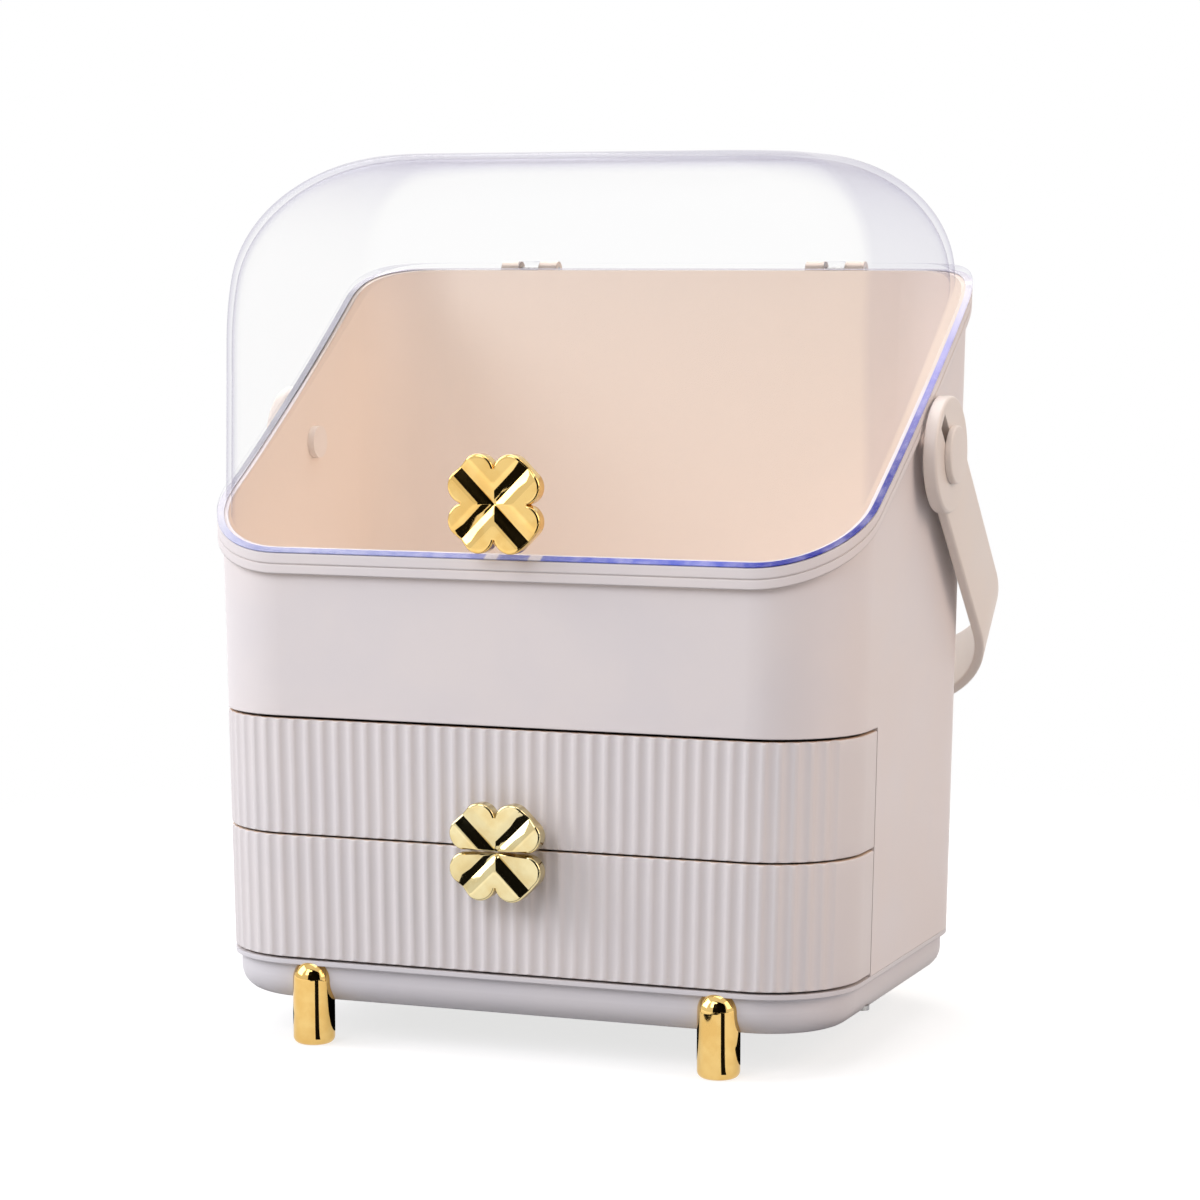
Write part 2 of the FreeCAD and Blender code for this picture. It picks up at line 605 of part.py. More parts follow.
def clover(name):
    """A four-leaf clover plate lying on Z = 0, with V grooves along its diagonals."""
    pieces = []
    for index, (across, along) in enumerate((("lobe_near", "lobe_far"), ("lobe_far", "lobe_near"))):
        for quadrant, (x_sign, y_sign) in enumerate(((1, 1), (-1, 1), (-1, -1), (1, -1))):
            pieces.append(cylinder("%s_lobe_%d_%d" % (name, index, quadrant), "lobe_radius", "knob_thickness",
                                   "%d * %s" % (x_sign, across), "%d * %s" % (y_sign, along)))
    middle = "((lobe_near + lobe_far + lobe_radius) / 2)"
    thick = ("0", "knob_thickness")
    pieces.append(block(name + "_middle", ("-" + middle, middle), ("-" + middle, middle), thick))
    grooves = []
    reach = "((lobe_near + lobe_far) / sqrt(2) + lobe_radius)"
    for index, turn in enumerate((45, 135)):
        bar = add("Part::Box", "%s_bar_%d" % (name, index), Length="2 * " + reach,
                  Width="(lobe_far - lobe_near) * sqrt(2)", Height="knob_thickness")
        bar.Placement.Rotation = Rotation(Vector(0, 0, 1), turn)
        half = "(lobe_far - lobe_near) / sqrt(2)"
        bind(bar, Placement__Base__x="-cos(%d) * %s + sin(%d) * %s" % (turn, reach, turn, half),
             Placement__Base__y="-sin(%d) * %s - cos(%d) * %s" % (turn, reach, turn, half))
        pieces.append(bar)
        groove = add("Part::Wedge", "%s_groove_%d" % (name, index), Xmin="-2 * " + reach, Xmax="2 * " + reach,
                     X2min="-2 * " + reach, X2max="2 * " + reach, Ymin="0", Ymax="knob_groove * 2",
                     Zmin="-knob_groove_width", Zmax="knob_groove_width", Z2min="0", Z2max="0")
        groove.Placement.Rotation = Rotation(Vector(0, 0, 1), turn).multiply(Rotation(Vector(1, 0, 0), -90))
        bind(groove, Placement__Base__z="knob_thickness + knob_groove")
        grooves.append(groove)
    return cut(name, fuse(name + "_plate", *pieces), *grooves)


def facing_front(thing, z):
    """Turn a plate made on Z = 0 to face the front, one standoff before the case."""
    thing.Placement.Rotation = TILT_UP
    return bind(thing, Placement__Base__y="-knob_standoff", Placement__Base__z=z)


def knob(name, plate, seat, height):
    """A knob plate on a round stem that ends on the seat, with a blind screw hole."""
    reach = "knob_standoff + (%s)" % seat
    stem = cylinder(name + "_stem", "knob_stem_radius", reach + " + knob_thickness / 2", "0", seat, height, TILT_UP)
    hole = cylinder(name + "_hole", "knob_screw_radius", reach + " - knob_skin", "0", seat, height, TILT_UP)
    return cut(name, fuse(name + "_solid", plate, stem), hole)


def screw_through(name, x, seat, length, height):
    """A screw that points to the front, with its head behind the seat."""
    head = cylinder(name + "_head", "screw_head_radius", "screw_head_height", x, "%s + screw_head_height" % seat,
                    height, TILT_UP)
    shank = cylinder(name + "_shank", "knob_screw_radius", length, x, seat, height, TILT_UP)
    return fuse(name, head, shank)


def lid_knob():
    return knob("lid_knob", facing_front(clover("lid_clover"), "lid_knob_height"), "lid_inset", "lid_knob_height")


def lid_knob_screw():
    seat = "lid_inset + lid_wall"
    return screw_through("lid_knob_screw", "0", seat, seat + " + knob_standoff - knob_skin", "lid_knob_height")


# ---- drawers: a fluted front that wraps round the corners, a moulded box and half a clover ----

DRAWERS = {
    "upper": ("front_split + seam / 2", "front_wall_bottom - seam", 1),
    "lower": ("base_top + seam", "front_split - seam / 2", -1),
}


def flutes(name, bottom, top):
    """Round cutters in a row across the front and round both corners, leaning with the draft."""
    middle = "(%s + %s) / 2" % (bottom, top)
    radius, depth, pitch = value("flute_radius"), value("flute_depth"), value("flute_pitch")
    corner = value("case_corner")
    flat = value(half_width(middle)) - corner
    lean = math.atan(value("(case_width_high - case_width_low) / 2 / (rim_back_height - base_top)"))
    low, high = value(bottom + " - overrun"), value(top + " + overrun")
    cutters = []
    for index in range(int((flat + corner * math.radians(value("flute_turn"))) / pitch) + 1):
        run = index * pitch
        turn = max(0, run - flat) / corner
        x = min(run, flat) + (corner + radius - depth) * math.sin(turn)
        y = corner - (corner + radius - depth) * math.cos(turn)
        tilt = lean * math.sin(turn) ** 2
        for sign in ((1, -1) if index else (1,)):
            axis = Vector(sign * math.tan(tilt), 0, 1)
            foot_point = Vector(sign * x, y, (low + high) / 2) - axis * ((high - low) / 2)
            cutters.append(Part.makeCylinder(radius, (high - low) * axis.Length, foot_point, axis))
    feature = doc.addObject("Part::Feature", name)
    feature.Shape = Part.makeCompound(cutters)
    return feature


def drawer_front(name):
    bottom, top, half = DRAWERS[name]
    outside = case_form(name + "_front_outside", "0", bottom, top)
    inside = case_form(name + "_front_inside", "-front_wall", bottom + " - overrun", top + " + overrun")
    behind = block(name + "_front_behind", ACROSS, ("wrap_depth", "case_depth + overrun"),
                   (bottom + " - overrun", top + " + overrun"))
    holes = [inside, behind, flutes(name + "_flutes", bottom, top)]
    for index, (x, z) in enumerate(front_screw_places(name)):
        holes.append(cylinder("%s_front_hole_%d" % (name, index), "knob_screw_radius", "front_wall - knob_skin", x,
                              "front_wall", z, TILT_UP))
    holes.append(cylinder(name + "_front_knob_hole", "knob_screw_radius", "overrun", "0", "overrun / 2",
                          knob_axis(name), TILT_UP))
    return cut(name + "_drawer_front", outside, *holes)


def knob_axis(name):
    """The height of the screw that holds a drawer's half clover."""
    return "front_split + %d * drawer_stem_offset" % DRAWERS[name][2]


def front_screw_places(name):
    bottom, top, half = DRAWERS[name]
    middle = "(%s + %s) / 2" % (bottom, top)
    return [("-front_screw_spacing / 2", middle), ("front_screw_spacing / 2", middle)]


def box_outline(name, grow, z):
    return rounded_outline(name, "box_width / 2 + (%s)" % grow, "front_wall - (%s)" % grow,
                           "case_depth - case_wall - box_back_gap + (%s)" % grow, "box_corner + (%s)" % grow, z=z)


def drawer_box(name):
    bottom, top, half = DRAWERS[name]
    floor = "(%s + box_lift)" % bottom
    outside = prism(name + "_box_outside", box_outline(name + "_box_outline", "0", floor),
                    "%s - box_top_gap - %s" % (top, floor))
    inside = prism(name + "_box_inside", box_outline(name + "_box_hollow", "-box_wall", floor + " + box_wall"),
                   "%s - %s" % (top, floor))
    holes = [inside]
    for index, (x, z) in enumerate(front_screw_places(name)):
        holes.append(cylinder("%s_box_hole_%d" % (name, index), "knob_screw_radius", "overrun", x,
                              "overrun", z, TILT_UP))
    holes.append(cylinder(name + "_box_knob_hole", "knob_stem_radius", "overrun", "0", "overrun",
                          knob_axis(name), TILT_UP))
    return cut(name + "_drawer_box", outside, *holes)


def front_screws(name):
    return grouped(name + "_front_screws", [
        screw_through("%s_front_screw_%d" % (name, index), x, "front_wall + box_wall",
                      "front_wall + box_wall - knob_skin", z)
        for index, (x, z) in enumerate(front_screw_places(name))
    ])


def knob_half(name):
    """Half a clover, parted from the other drawer's half along the line between the fronts."""
    half = DRAWERS[name][2]
    wide = "(2 * (lobe_far + lobe_radius))"
    limits = ("seam / 2", wide) if half > 0 else ("-" + wide, "-seam / 2")
    leaf = common(name + "_leaf", clover(name + "_clover"),
                  block(name + "_leaf_half", ("-" + wide, wide), limits, ("0", "knob_thickness")))
    return knob(name + "_knob_half", facing_front(leaf, "front_split"), "0", knob_axis(name))


def knob_screw(name):
    return screw_through(name + "_knob_screw", "0", "front_wall", "front_wall + knob_standoff - knob_skin",
                         knob_axis(name))


def runner(name, side, sign):
    """A moulded channel on the side wall: a web beside the drawer box and a ledge under it."""
    ledge_top = "(%s + box_lift - lid_gap)" % DRAWERS[name][0]
    low = ledge_top + " - runner_plate"
    edge = "(box_width / 2 + runner_play)"
    depth = ("wrap_depth + runner_start", "case_depth - runner_stop")
    label = "%s_runner_%s" % (name, side)

    def bar(part, near, far, heights, lengths=depth):
        span = (near, far) if sign > 0 else ("-(%s)" % far, "-(%s)" % near)
        return block("%s_%s" % (label, part), span, lengths, heights)

    stock = bar("stock", edge, "case_width_high", (low, low + " + runner_height"))
    hollow = bar("hollow", edge + " + runner_plate", "case_width_high",
                 (low + " + runner_plate", low + " + runner_height - runner_plate"))
    ledge = bar("ledge", edge + " - runner_ledge", edge + " + runner_plate", (low, ledge_top))
    inside = case_form(label + "_seat", "-case_wall", "base_top", "front_wall_bottom")
    return common(label, cut(label + "_channel", fuse(label + "_solid", stock, ledge), hollow), inside)


# ---- handle: a strap bent into a bail, hanging behind the case on two capped pins ----

GRIP_BAYS = 6


def hung(thing):
    """Hang a piece made about the pivot line, strap downwards, behind the case."""
    thing.Placement.Rotation = Rotation(Vector(1, 0, 0), value("hang_angle"))
    return bind(thing, Placement__Base__y="pivot_depth", Placement__Base__z="pivot_height",
                Placement__Rotation__Angle="hang_angle")


def bail_handle():
    outer = "%s + strap_thickness" % strap_x
    reach = "(strap_inside + strap_thickness)"
    around = "2 * (head_radius + strap_width)"
    outline = rounded_outline("bail_outline", outer, "-" + reach, reach, "strap_corner", rotation=TILT_UP)
    hollow = rounded_outline("bail_hollow", strap_x, "-strap_inside", "strap_inside",
                             "strap_corner - strap_thickness", rotation=TILT_UP)
    ring = cut("bail_ring", prism("bail_outside", outline, around, both_ways=True),
               prism("bail_inside", hollow, around, both_ways=True))
    arms = block("bail_arms", ACROSS, ("-strap_width / 2", "strap_width / 2"), ("-%s - overrun" % reach, "0"))
    heads = [cylinder("bail_head_" + side, "head_radius", "head_thickness", "%d * %s" % (sign, strap_x),
                      rotation=Rotation(Vector(0, 1, 0), 90 * sign)) for side, sign in SIDES]
    bore = cylinder("bail_bore", "stud_radius + stud_play", "2 * case_width_high", "-case_width_high",
                    rotation=ALONG_X)
    keyway = block("bail_keyway", ACROSS, ("-keyway_width / 2", "keyway_width / 2"), ("0", "keyway_reach"))
    band = fuse("bail_band", common("bail_strap", ring, arms), *heads)
    return hung(cut("bail_handle", band, bore, keyway, grip_channel()))


def grip_channel():
    """The shallow pocket inside the grip, with ribs left standing across it."""
    lip = "(strap_width / 2 - grip_lip)"
    across = ("-" + lip, lip)
    depth = ("-strap_inside - grip_recess", "grip_recess - strap_inside")
    pocket = block("grip_pocket", ("-grip_recess_length / 2", "grip_recess_length / 2"), across, depth)
    ribs = []
    for index in range(1, GRIP_BAYS):
        middle = "grip_recess_length * (%d / %d - 1 / 2)" % (index, GRIP_BAYS)
        ribs.append(block("grip_rib_%d" % index, (middle + " - grip_rib / 2", middle + " + grip_rib / 2"), across,
                          depth))
    return cut("grip_channel", pocket, *ribs)


def pivot_shank(name, side, sign, end):
    """The round shank of a pivot pin, from just inside the wall to an end outside it."""
    inner = "(%s)" % half_width("pivot_height", "-case_wall - inner_cap_thickness / 2")
    return cylinder(name + side, "stud_radius", "%s - %s" % (end, inner), "%d * %s" % (sign, inner),
                    "pivot_depth", "pivot_height", Rotation(Vector(0, 1, 0), 90 * sign))


def pivot_pin(side, sign):
    """A headed pin: the round cap outside the strap, and a shank through strap and wall."""
    outer = "(%s + head_thickness + strap_play / 2)" % strap_x
    cap = cylinder("pin_cap_" + side, "cap_radius", "cap_thickness", "%d * %s" % (sign, outer),
                   "pivot_depth", "pivot_height", Rotation(Vector(0, 1, 0), 90 * sign))
    return fuse("pivot_pin_" + side, pivot_shank("pin_shank_", side, sign, outer), cap)


def inner_cap(side, sign):
    """The push-on cap that keeps a pivot pin in the wall."""
    start = "(%s)" % half_width("pivot_height", "-case_wall - 3 * inner_cap_thickness / 2")
    stock = cylinder("inner_cap_stock_" + side, "inner_cap_radius", "overrun", "%d * %s" % (sign, start),
                     "pivot_depth", "pivot_height", Rotation(Vector(0, 1, 0), 90 * sign))
    inside = case_form("inner_cap_seat_" + side, "-case_wall", "shelf_underside", "rim_back_height")
    return cut("inner_cap_" + side, common("inner_cap_trimmed_" + side, stock, inside),
               pivot_shank("inner_cap_hole_", side, sign, strap_x))


# ---- build, check and write ----

sub_parts = [case_body(), base_tray(), base_screws()]
sub_parts += [foot(*place) for place in foot_places()]
sub_parts += [foot_screws(), lid_shell(), lid_knob(), lid_knob_screw()]
sub_parts += [hinge_pin(side, x) for side, x in hinge_places()]
for drawer in DRAWERS:
    sub_parts += [drawer_front(drawer), drawer_box(drawer), front_screws(drawer)]
    sub_parts += [knob_half(drawer), knob_screw(drawer)]
    sub_parts += [runner(drawer, side, sign) for side, sign in SIDES]
sub_parts.append(bail_handle())
for side, sign in SIDES:
    sub_parts += [pivot_pin(side, sign), inner_cap(side, sign)]

# The origin lies on the floor in the middle of the whole object, knobs and hanging handle included.
rear = "pivot_depth + strap_width / 2 * cos(hang_angle) + (strap_inside + strap_thickness) * sin(hang_angle)"
middle = "(%s - knob_standoff - knob_thickness) / 2" % rear
for thing in sub_parts:
    thing.Label = thing.Name
    own_place = dict(thing.ExpressionEngine).get(".Placement.Base.y", "0")
    thing.setExpression("Placement.Base.y", "%s - %s" % (own_place, spelt(middle)))
doc.recompute()

failed = [thing.Name for thing in doc.Objects if "Invalid" in thing.State or "Error" in thing.State]
failed += [thing.Name for thing in sub_parts if thing.Shape.isNull() or not thing.Shape.isValid()]
if failed:
    raise RuntimeError("these objects failed: " + ", ".join(failed))
for thing in sub_parts:
    thing.Shape.exportStep("parts/%s.step" % thing.Label)
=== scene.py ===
import bmesh
import bpy
import numpy as np
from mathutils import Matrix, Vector


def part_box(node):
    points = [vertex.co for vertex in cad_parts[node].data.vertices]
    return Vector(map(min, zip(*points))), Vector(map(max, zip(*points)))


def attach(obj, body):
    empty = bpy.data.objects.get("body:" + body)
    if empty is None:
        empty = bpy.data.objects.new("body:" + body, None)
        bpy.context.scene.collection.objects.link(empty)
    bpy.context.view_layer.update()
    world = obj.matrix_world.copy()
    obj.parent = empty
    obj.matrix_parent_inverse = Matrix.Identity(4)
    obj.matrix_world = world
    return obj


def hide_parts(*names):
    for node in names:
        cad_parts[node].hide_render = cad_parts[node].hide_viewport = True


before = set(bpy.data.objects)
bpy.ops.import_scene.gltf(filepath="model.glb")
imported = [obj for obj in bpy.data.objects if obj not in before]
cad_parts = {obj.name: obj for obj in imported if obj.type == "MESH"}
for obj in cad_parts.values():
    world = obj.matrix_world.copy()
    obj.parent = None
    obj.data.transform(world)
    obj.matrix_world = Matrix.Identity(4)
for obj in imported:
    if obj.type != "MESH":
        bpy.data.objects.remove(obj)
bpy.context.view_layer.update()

# Makeup storage case with a carrying handle, section by section in the order it is put together.
# Lengths are in millimetres, from the middle of the case's front at the floor, until a mesh is made.

# ---- Case body ------------------------------------------------------------------------------
# One drafted moulding in matt ivory plastic: walls, the shelf over the drawers, the collar under the
# lid and the hinge knuckles. It comes from a spark-eroded mould, which leaves a fine even grain.

collar_proud = 2.4
case_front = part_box("case_body")[0].y * 1000 + collar_proud


class Wire:
    """A value in a finish's node tree. Arithmetic on it adds Math nodes."""

    def __init__(self, finish, socket):
        self.finish = finish
        self.socket = socket

    def maths(self, operation, *values):
        return self.finish.node("Math", {"operation": operation}, dict(enumerate(values)))

    def __add__(self, other):
        return self.maths("ADD", self, other)

    def __sub__(self, other):
        return self.maths("SUBTRACT", self, other)

    def __rsub__(self, other):
        return self.maths("SUBTRACT", other, self)

    def __mul__(self, other):
        return self.maths("MULTIPLY", self, other)

    def __truediv__(self, other):
        return self.maths("DIVIDE", self, other)

    __radd__ = __add__
    __rmul__ = __mul__

    def absolute(self):
        return self.maths("ABSOLUTE", self)

    def ramp(self, low, high, start=0.0, end=1.0):
        """Start below low, end above high, and a smooth step between them."""
        return self.finish.node("MapRange", {"interpolation_type": "SMOOTHSTEP"}, {
            "Value": self, "From Min": low, "From Max": high, "To Min": start, "To Max": end})


class Finish:
    """A material whose nodes are added one at a time."""

    def __init__(self, name, **plain):
        self.material = bpy.data.materials.new(name)
        self.material.use_nodes = True
        self.tree = self.material.node_tree
        self.shader = self.tree.nodes["Principled BSDF"]
        self.output = self.tree.nodes["Material Output"]
        for socket, value in plain.items():
            self.shader.inputs[socket.replace("_", " ").title().replace("Ior", "IOR")].default_value = value

    def node(self, kind, settings, sockets, output=0):
        """A new node: its own settings first, then the values or wires of its sockets. Gives one output."""
        made = self.tree.nodes.new("ShaderNode" + kind)
        for name, value in settings.items():
            if name == "stops":
                for index, (place, colour) in enumerate(value):
                    stop = made.color_ramp.elements[index] if index < 2 else made.color_ramp.elements.new(place)
                    stop.position = place
                    stop.color = (*colour, 1)
            else:
                setattr(made, name, value)
        for name, value in sockets.items():
            self.feed(made.inputs[name], value)
        return Wire(self, made.outputs[output])

    def feed(self, socket, value):
        if isinstance(value, Wire):
            self.tree.links.new(value.socket, socket)
        elif socket.type == "RGBA":
            socket.default_value = (*value, 1)
        else:
            socket.default_value = value

    def colour_mix(self, factor, first, second, blend="MIX"):
        return self.node("Mix", {"data_type": "RGBA", "blend_type": blend}, {0: factor, 6: first, 7: second}, 2)

    def place(self):
        return self.node("TexCoord", {}, {}, "Object")

    def axis(self, place, name):
        return self.node("SeparateXYZ", {}, {0: place}, name)

    def noise(self, place, size_mm, detail=2.0, roughness=0.5):
        return self.node("TexNoise", {}, {"Vector": place, "Scale": 1000 / size_mm, "Detail": detail,
                                          "Roughness": roughness})

    def bump(self, height, depth_mm, strength=1.0, normal=None):
        sockets = {"Strength": strength, "Distance": depth_mm / 1000, "Height": height}
        if normal:
            sockets["Normal"] = normal
        return self.node("Bump", {}, sockets)

    def shade(self, **wires):
        """Feed the shader's Base Color, Roughness, Metallic, Coat Weight, Alpha or Normal."""
        for name, value in wires.items():
            self.feed(self.shader.inputs[name.replace("_", " ").title()], value)
        return self.material


def linear(red, green, blue):
    """A display colour of 0 to 255 as the shader's linear colour."""
    share = np.array([red, green, blue]) / 255
    return tuple(float(v) for v in np.where(share <= 0.04045, share / 12.92, ((share + 0.055) / 1.055) ** 2.4))


def moulded(name, colour, grain_mm=0.35, grain_depth=0.012, roughness=0.46, edge_mm=0.0, tint=0.03):
    """Matt moulded plastic: a fine grain, broad faint clouding of the colour and sheen, and eased edges."""
    finish = Finish(name, roughness=roughness, specular_ior_level=0.42, subsurface_weight=0.0)
    place = finish.place()
    cloud = finish.noise(place, 42, 3)
    fleck = finish.noise(place, 1.1, 2)
    darker = tuple(channel * (1 - tint) for channel in colour)
    warmer = (colour[0] * (1 + tint * 0.3), colour[1], colour[2] * (1 - tint * 0.6))
    base = finish.colour_mix(cloud.ramp(0.3, 0.7), darker, warmer)
    base = finish.colour_mix(fleck.ramp(0.2, 0.8, 0.0, 0.12), base, darker)
    eased = finish.node("Bevel", {"samples": 6}, {"Radius": edge_mm / 1000}) if edge_mm else None
    grain = finish.noise(place, grain_mm, 3, 0.6)
    finish.shade(base_color=base, roughness=cloud.ramp(0.25, 0.75, roughness - 0.05, roughness + 0.06),
                 normal=finish.bump(grain, grain_depth, 0.6, eased))
    return finish


def dress(node, finish):
    """Give a CAD node its finish."""
    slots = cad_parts[node].data.materials
    for index in range(len(slots)):
        slots[index] = finish.material


def case_plastic():
    """The case's ivory, with painted warm light on the faces that look inwards, for light that has passed the plastic
    twice, and painted warm shade on the faces that look down, for the shade in the seams over the drawers.
    """
    finish = moulded("case_ivory", linear(239, 233, 234), edge_mm=0.9)
    place, normal = finish.place(), finish.node("TexCoord", {}, {}, "Normal")
    flat = finish.node("VectorMath", {"operation": "MULTIPLY"}, {0: place, 1: (1, 1, 0)})
    outward = finish.node("VectorMath", {"operation": "DOT_PRODUCT"}, {0: flat, 1: normal}, "Value")
    high = finish.axis(place, "Z").ramp(0.146, 0.150)
    # painted light: the inward faces above the shelf are painted warmer, for light that has passed the plastic twice
    inside = outward.ramp(-0.004, 0.004, 1.0, 0.0) * high
    # painted shade: faces that look down, such as the lip over the upper drawer, are painted warm brown, for the shade
    # in the seams
    lips = finish.axis(normal, "Z").ramp(-0.97, -0.85, 1.0, 0.0)
    plain = Wire(finish, finish.shader.inputs["Base Color"].links[0].from_socket)
    warmer = finish.colour_mix(inside, plain, linear(238, 224, 211))
    finish.shade(base_color=finish.colour_mix(lips, warmer, linear(216, 172, 132)))
    return finish


dress("case_body", case_plastic())


# ---- Base tray and its screws ---------------------------------------------------------------
# A shallow pan of the same plastic that closes the case from below, with a bead round its top and a
# well rounded lower edge. Four screws come up through it into bosses of the case.

# painted shade: the tray's ivory is a little darker and cooler than the case's, for the dimmer light low on the case
dress("base_tray", moulded("base_ivory", linear(227, 225, 230), edge_mm=0.6))


def steel(name):
    """Plain zinc-plated steel with fine scratches and a dull bloom."""
    finish = Finish(name, metallic=1.0, roughness=0.32)
    place = finish.place()
    bloom = finish.noise(place, 2.5, 3)
    scratch = finish.noise(finish.node("VectorMath", {"operation": "MULTIPLY"}, {0: place, 1: (1, 1, 14)}), 0.8, 2)
    finish.shade(base_color=finish.colour_mix(bloom.ramp(0.3, 0.7), linear(150, 150, 152), linear(182, 182, 180)),
                 roughness=bloom.ramp(0.2, 0.8, 0.24, 0.42), normal=finish.bump(scratch, 0.01, 0.4))
    return finish


steel_finish = steel("zinc_steel")
for node in ("base_screws", "foot_screws", "upper_front_screws", "lower_front_screws", "upper_knob_screw",
             "lower_knob_screw", "lid_knob_screw", "hinge_pin_left", "hinge_pin_right"):
    dress(node, steel_finish)


# ---- Feet -----------------------------------------------------------------------------------
# Four mirror-gold capsules that stand upright and hug the rounded edge of the base, each held by one
# screw from inside the tray.

def gold(name, colour, dull=0.05):
    """Vacuum-plated gold over polished plastic: nearly a mirror, with faint waviness and a few dull marks."""
    finish = Finish(name, metallic=1.0, roughness=dull, specular_ior_level=0.6)
    place = finish.place()
    patch = finish.noise(place, 9, 3)
    mark = finish.noise(place, 0.9, 3, 0.65)
    deeper = (colour[0] * 0.93, colour[1] * 0.86, colour[2] * 0.74)
    finish.shade(base_color=finish.colour_mix(patch.ramp(0.35, 0.7), colour, deeper),
                 roughness=mark.ramp(0.55, 0.8, dull, dull + 0.10),
                 normal=finish.bump(finish.noise(place, 6, 2), 0.05, 0.25))
    return finish


gold_plate = gold("gold_plate", linear(226, 192, 122))
# painted light: gold_pale is the same plating in a paler colour, for the brighter light the drawer knob reflects
gold_pale = gold("gold_pale", linear(216, 203, 158))
for place in ("front_left", "front_right", "rear_left", "rear_right"):
    dress("foot_" + place, gold_plate)


# ---- Drawers --------------------------------------------------------------------------------
# Two shallow moulded boxes on plastic runners. Each has a screwed-on front that wraps round the
# corners of the case and carries concave flutes on its flat and on most of each corner.

case_width_low, case_width_high = 284.0, 296.0
base_top, rim_back = 36.4, 329.0
case_corner = 40.0
wrap_depth = 53.0
front_wall = 2.8
seam = 0.9
front_split = 90.7
flute_pitch, flute_radius, flute_depth, flute_turn = 6.75, 4.2, 0.9, 57


def half_width(height):
    """Half the width of the drafted case at a height."""
    return (case_width_low + (case_width_high - case_width_low) * (height - base_top) / (rim_back - base_top)) / 2


def skin(name, points, finish, body, replaced=(), wrap=(False, False),
         ends=(False, False), sharp_degrees=50):
    """A skin of four-sided faces over a grid of points, rows by columns, closed up either way if wrapped.

    ends closes the first and the last row, each with one flat face.
    """
    rows, columns = points.shape[:2]
    index = np.arange(rows * columns).reshape(rows, columns)
    if wrap[0]:
        index = np.vstack([index, index[:1]])
    if wrap[1]:
        index = np.hstack([index, index[:, :1]])
    corners = [index[:-1, :-1], index[:-1, 1:], index[1:, 1:], index[1:, :-1]]
    faces = np.stack(corners, axis=-1).reshape(-1, 4).tolist()
    if ends[0]:
        faces.append(index[0, :columns].tolist())
    if ends[1]:
        faces.append(index[-1, :columns].tolist())
    metres = (points.reshape(-1, 3) + (0, case_front, 0)) / 1000
    return piece(name, metres, faces, finish, body, replaced, sharp_degrees)


def piece(name, metres, faces, finish, body, replaced, sharp_degrees):
    """A closed mesh in metres that rides on a body, its doubled points merged and its faces turned outwards."""
    mesh = bpy.data.meshes.new(name)
    mesh.from_pydata(metres.tolist(), [], faces)
    worked = bmesh.new()
    worked.from_mesh(mesh)
    bmesh.ops.remove_doubles(worked, verts=worked.verts, dist=2e-6)
    bmesh.ops.dissolve_degenerate(worked, dist=1e-7, edges=worked.edges)
    bmesh.ops.recalc_face_normals(worked, faces=worked.faces)
    worked.to_mesh(mesh)
    worked.free()
    mesh.polygons.foreach_set("use_smooth", np.ones(len(mesh.polygons), bool))
    mesh.set_sharp_from_angle(angle=np.radians(sharp_degrees))
    mesh.materials.append(finish.material)
    made = bpy.data.objects.new(name, mesh)
    bpy.context.scene.collection.objects.link(made)
    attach(made, body)
    if replaced:
        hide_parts(*replaced)
    return made


def wrap_line(step=0.45):
    """Where a front runs, seen from above: distances along it, and for each the share of draft, place and normal.

    The line goes from the left end, forward along the side, round the corner, across the flat, and on
    to the right end. It gives the corner centre's sign, and the normal's X and Y.
    """
    flat = half_width((base_top + 142) / 2) - case_corner
    side = wrap_depth - case_corner
    arc = case_corner * np.pi / 2
    total = 2 * (flat + arc + side)
    run = np.linspace(-total / 2, total / 2, int(total / step) + 1)
    far = np.abs(run)
    turn = np.clip((far - flat) / case_corner, 0, np.pi / 2)
    return run, flat, far, turn, np.clip(far - flat - arc, 0, None)


def fluted_front(name, bottom, top, finish, body, node):
    """A front swept along its line: a section of rounded edges and two walls, pressed in where a flute runs.

    A flute's depth at a distance x from its middle is sqrt(r2 - x2) - (r - depth), and its middles stand one
    pitch apart from the centre outwards, up to the turn at which the corner goes plain.
    """
    run, flat, far, turn, straight = wrap_line()
    nearest = np.round(far / flute_pitch) * flute_pitch
    last = np.floor((flat + case_corner * np.radians(flute_turn)) / flute_pitch) * flute_pitch
    across = np.minimum(np.abs(far - nearest), 99)
    hollow = np.sqrt(np.clip(flute_radius ** 2 - across ** 2, 0, None)) - (flute_radius - flute_depth)
    pressed = np.where(nearest <= last + 0.01, np.clip(hollow, 0, None), 0)
    edge = 1.0
    quarter = np.linspace(0, np.pi / 2, 6)
    # section: height and depth behind the outer face, from the outer lower edge round to the inner side
    height = np.concatenate([bottom + edge * (1 - np.sin(quarter[::-1])),
                             np.linspace(bottom + edge, top - edge, 9)[1:-1],
                             top - edge * (1 - np.sin(quarter)), [top, bottom]])
    behind = np.concatenate([edge * (1 - np.cos(quarter[::-1])), np.zeros(7), edge * (1 - np.cos(quarter)),
                             [front_wall, front_wall]])
    outer = np.concatenate([np.linspace(0.0, 1.0, 6), np.ones(7), np.linspace(1.0, 0.0, 6), [0, 0]])
    height, behind, outer = height[:, None], behind[:, None], outer[:, None]
    inward = np.maximum(behind, pressed * (outer > 0.05))
    sign = np.sign(run)
    reach = case_corner - inward
    middle = half_width(height) - case_corner
    x = sign * (np.where(far < flat, far * middle / flat, middle) + reach * np.sin(turn))
    y = case_corner - reach * np.cos(turn) + straight
    points = np.stack([x, y, np.broadcast_to(height, x.shape)], axis=-1).transpose(1, 0, 2)
    return skin(name, points, finish, body, (node,), wrap=(False, True), ends=(True, True), sharp_degrees=35)


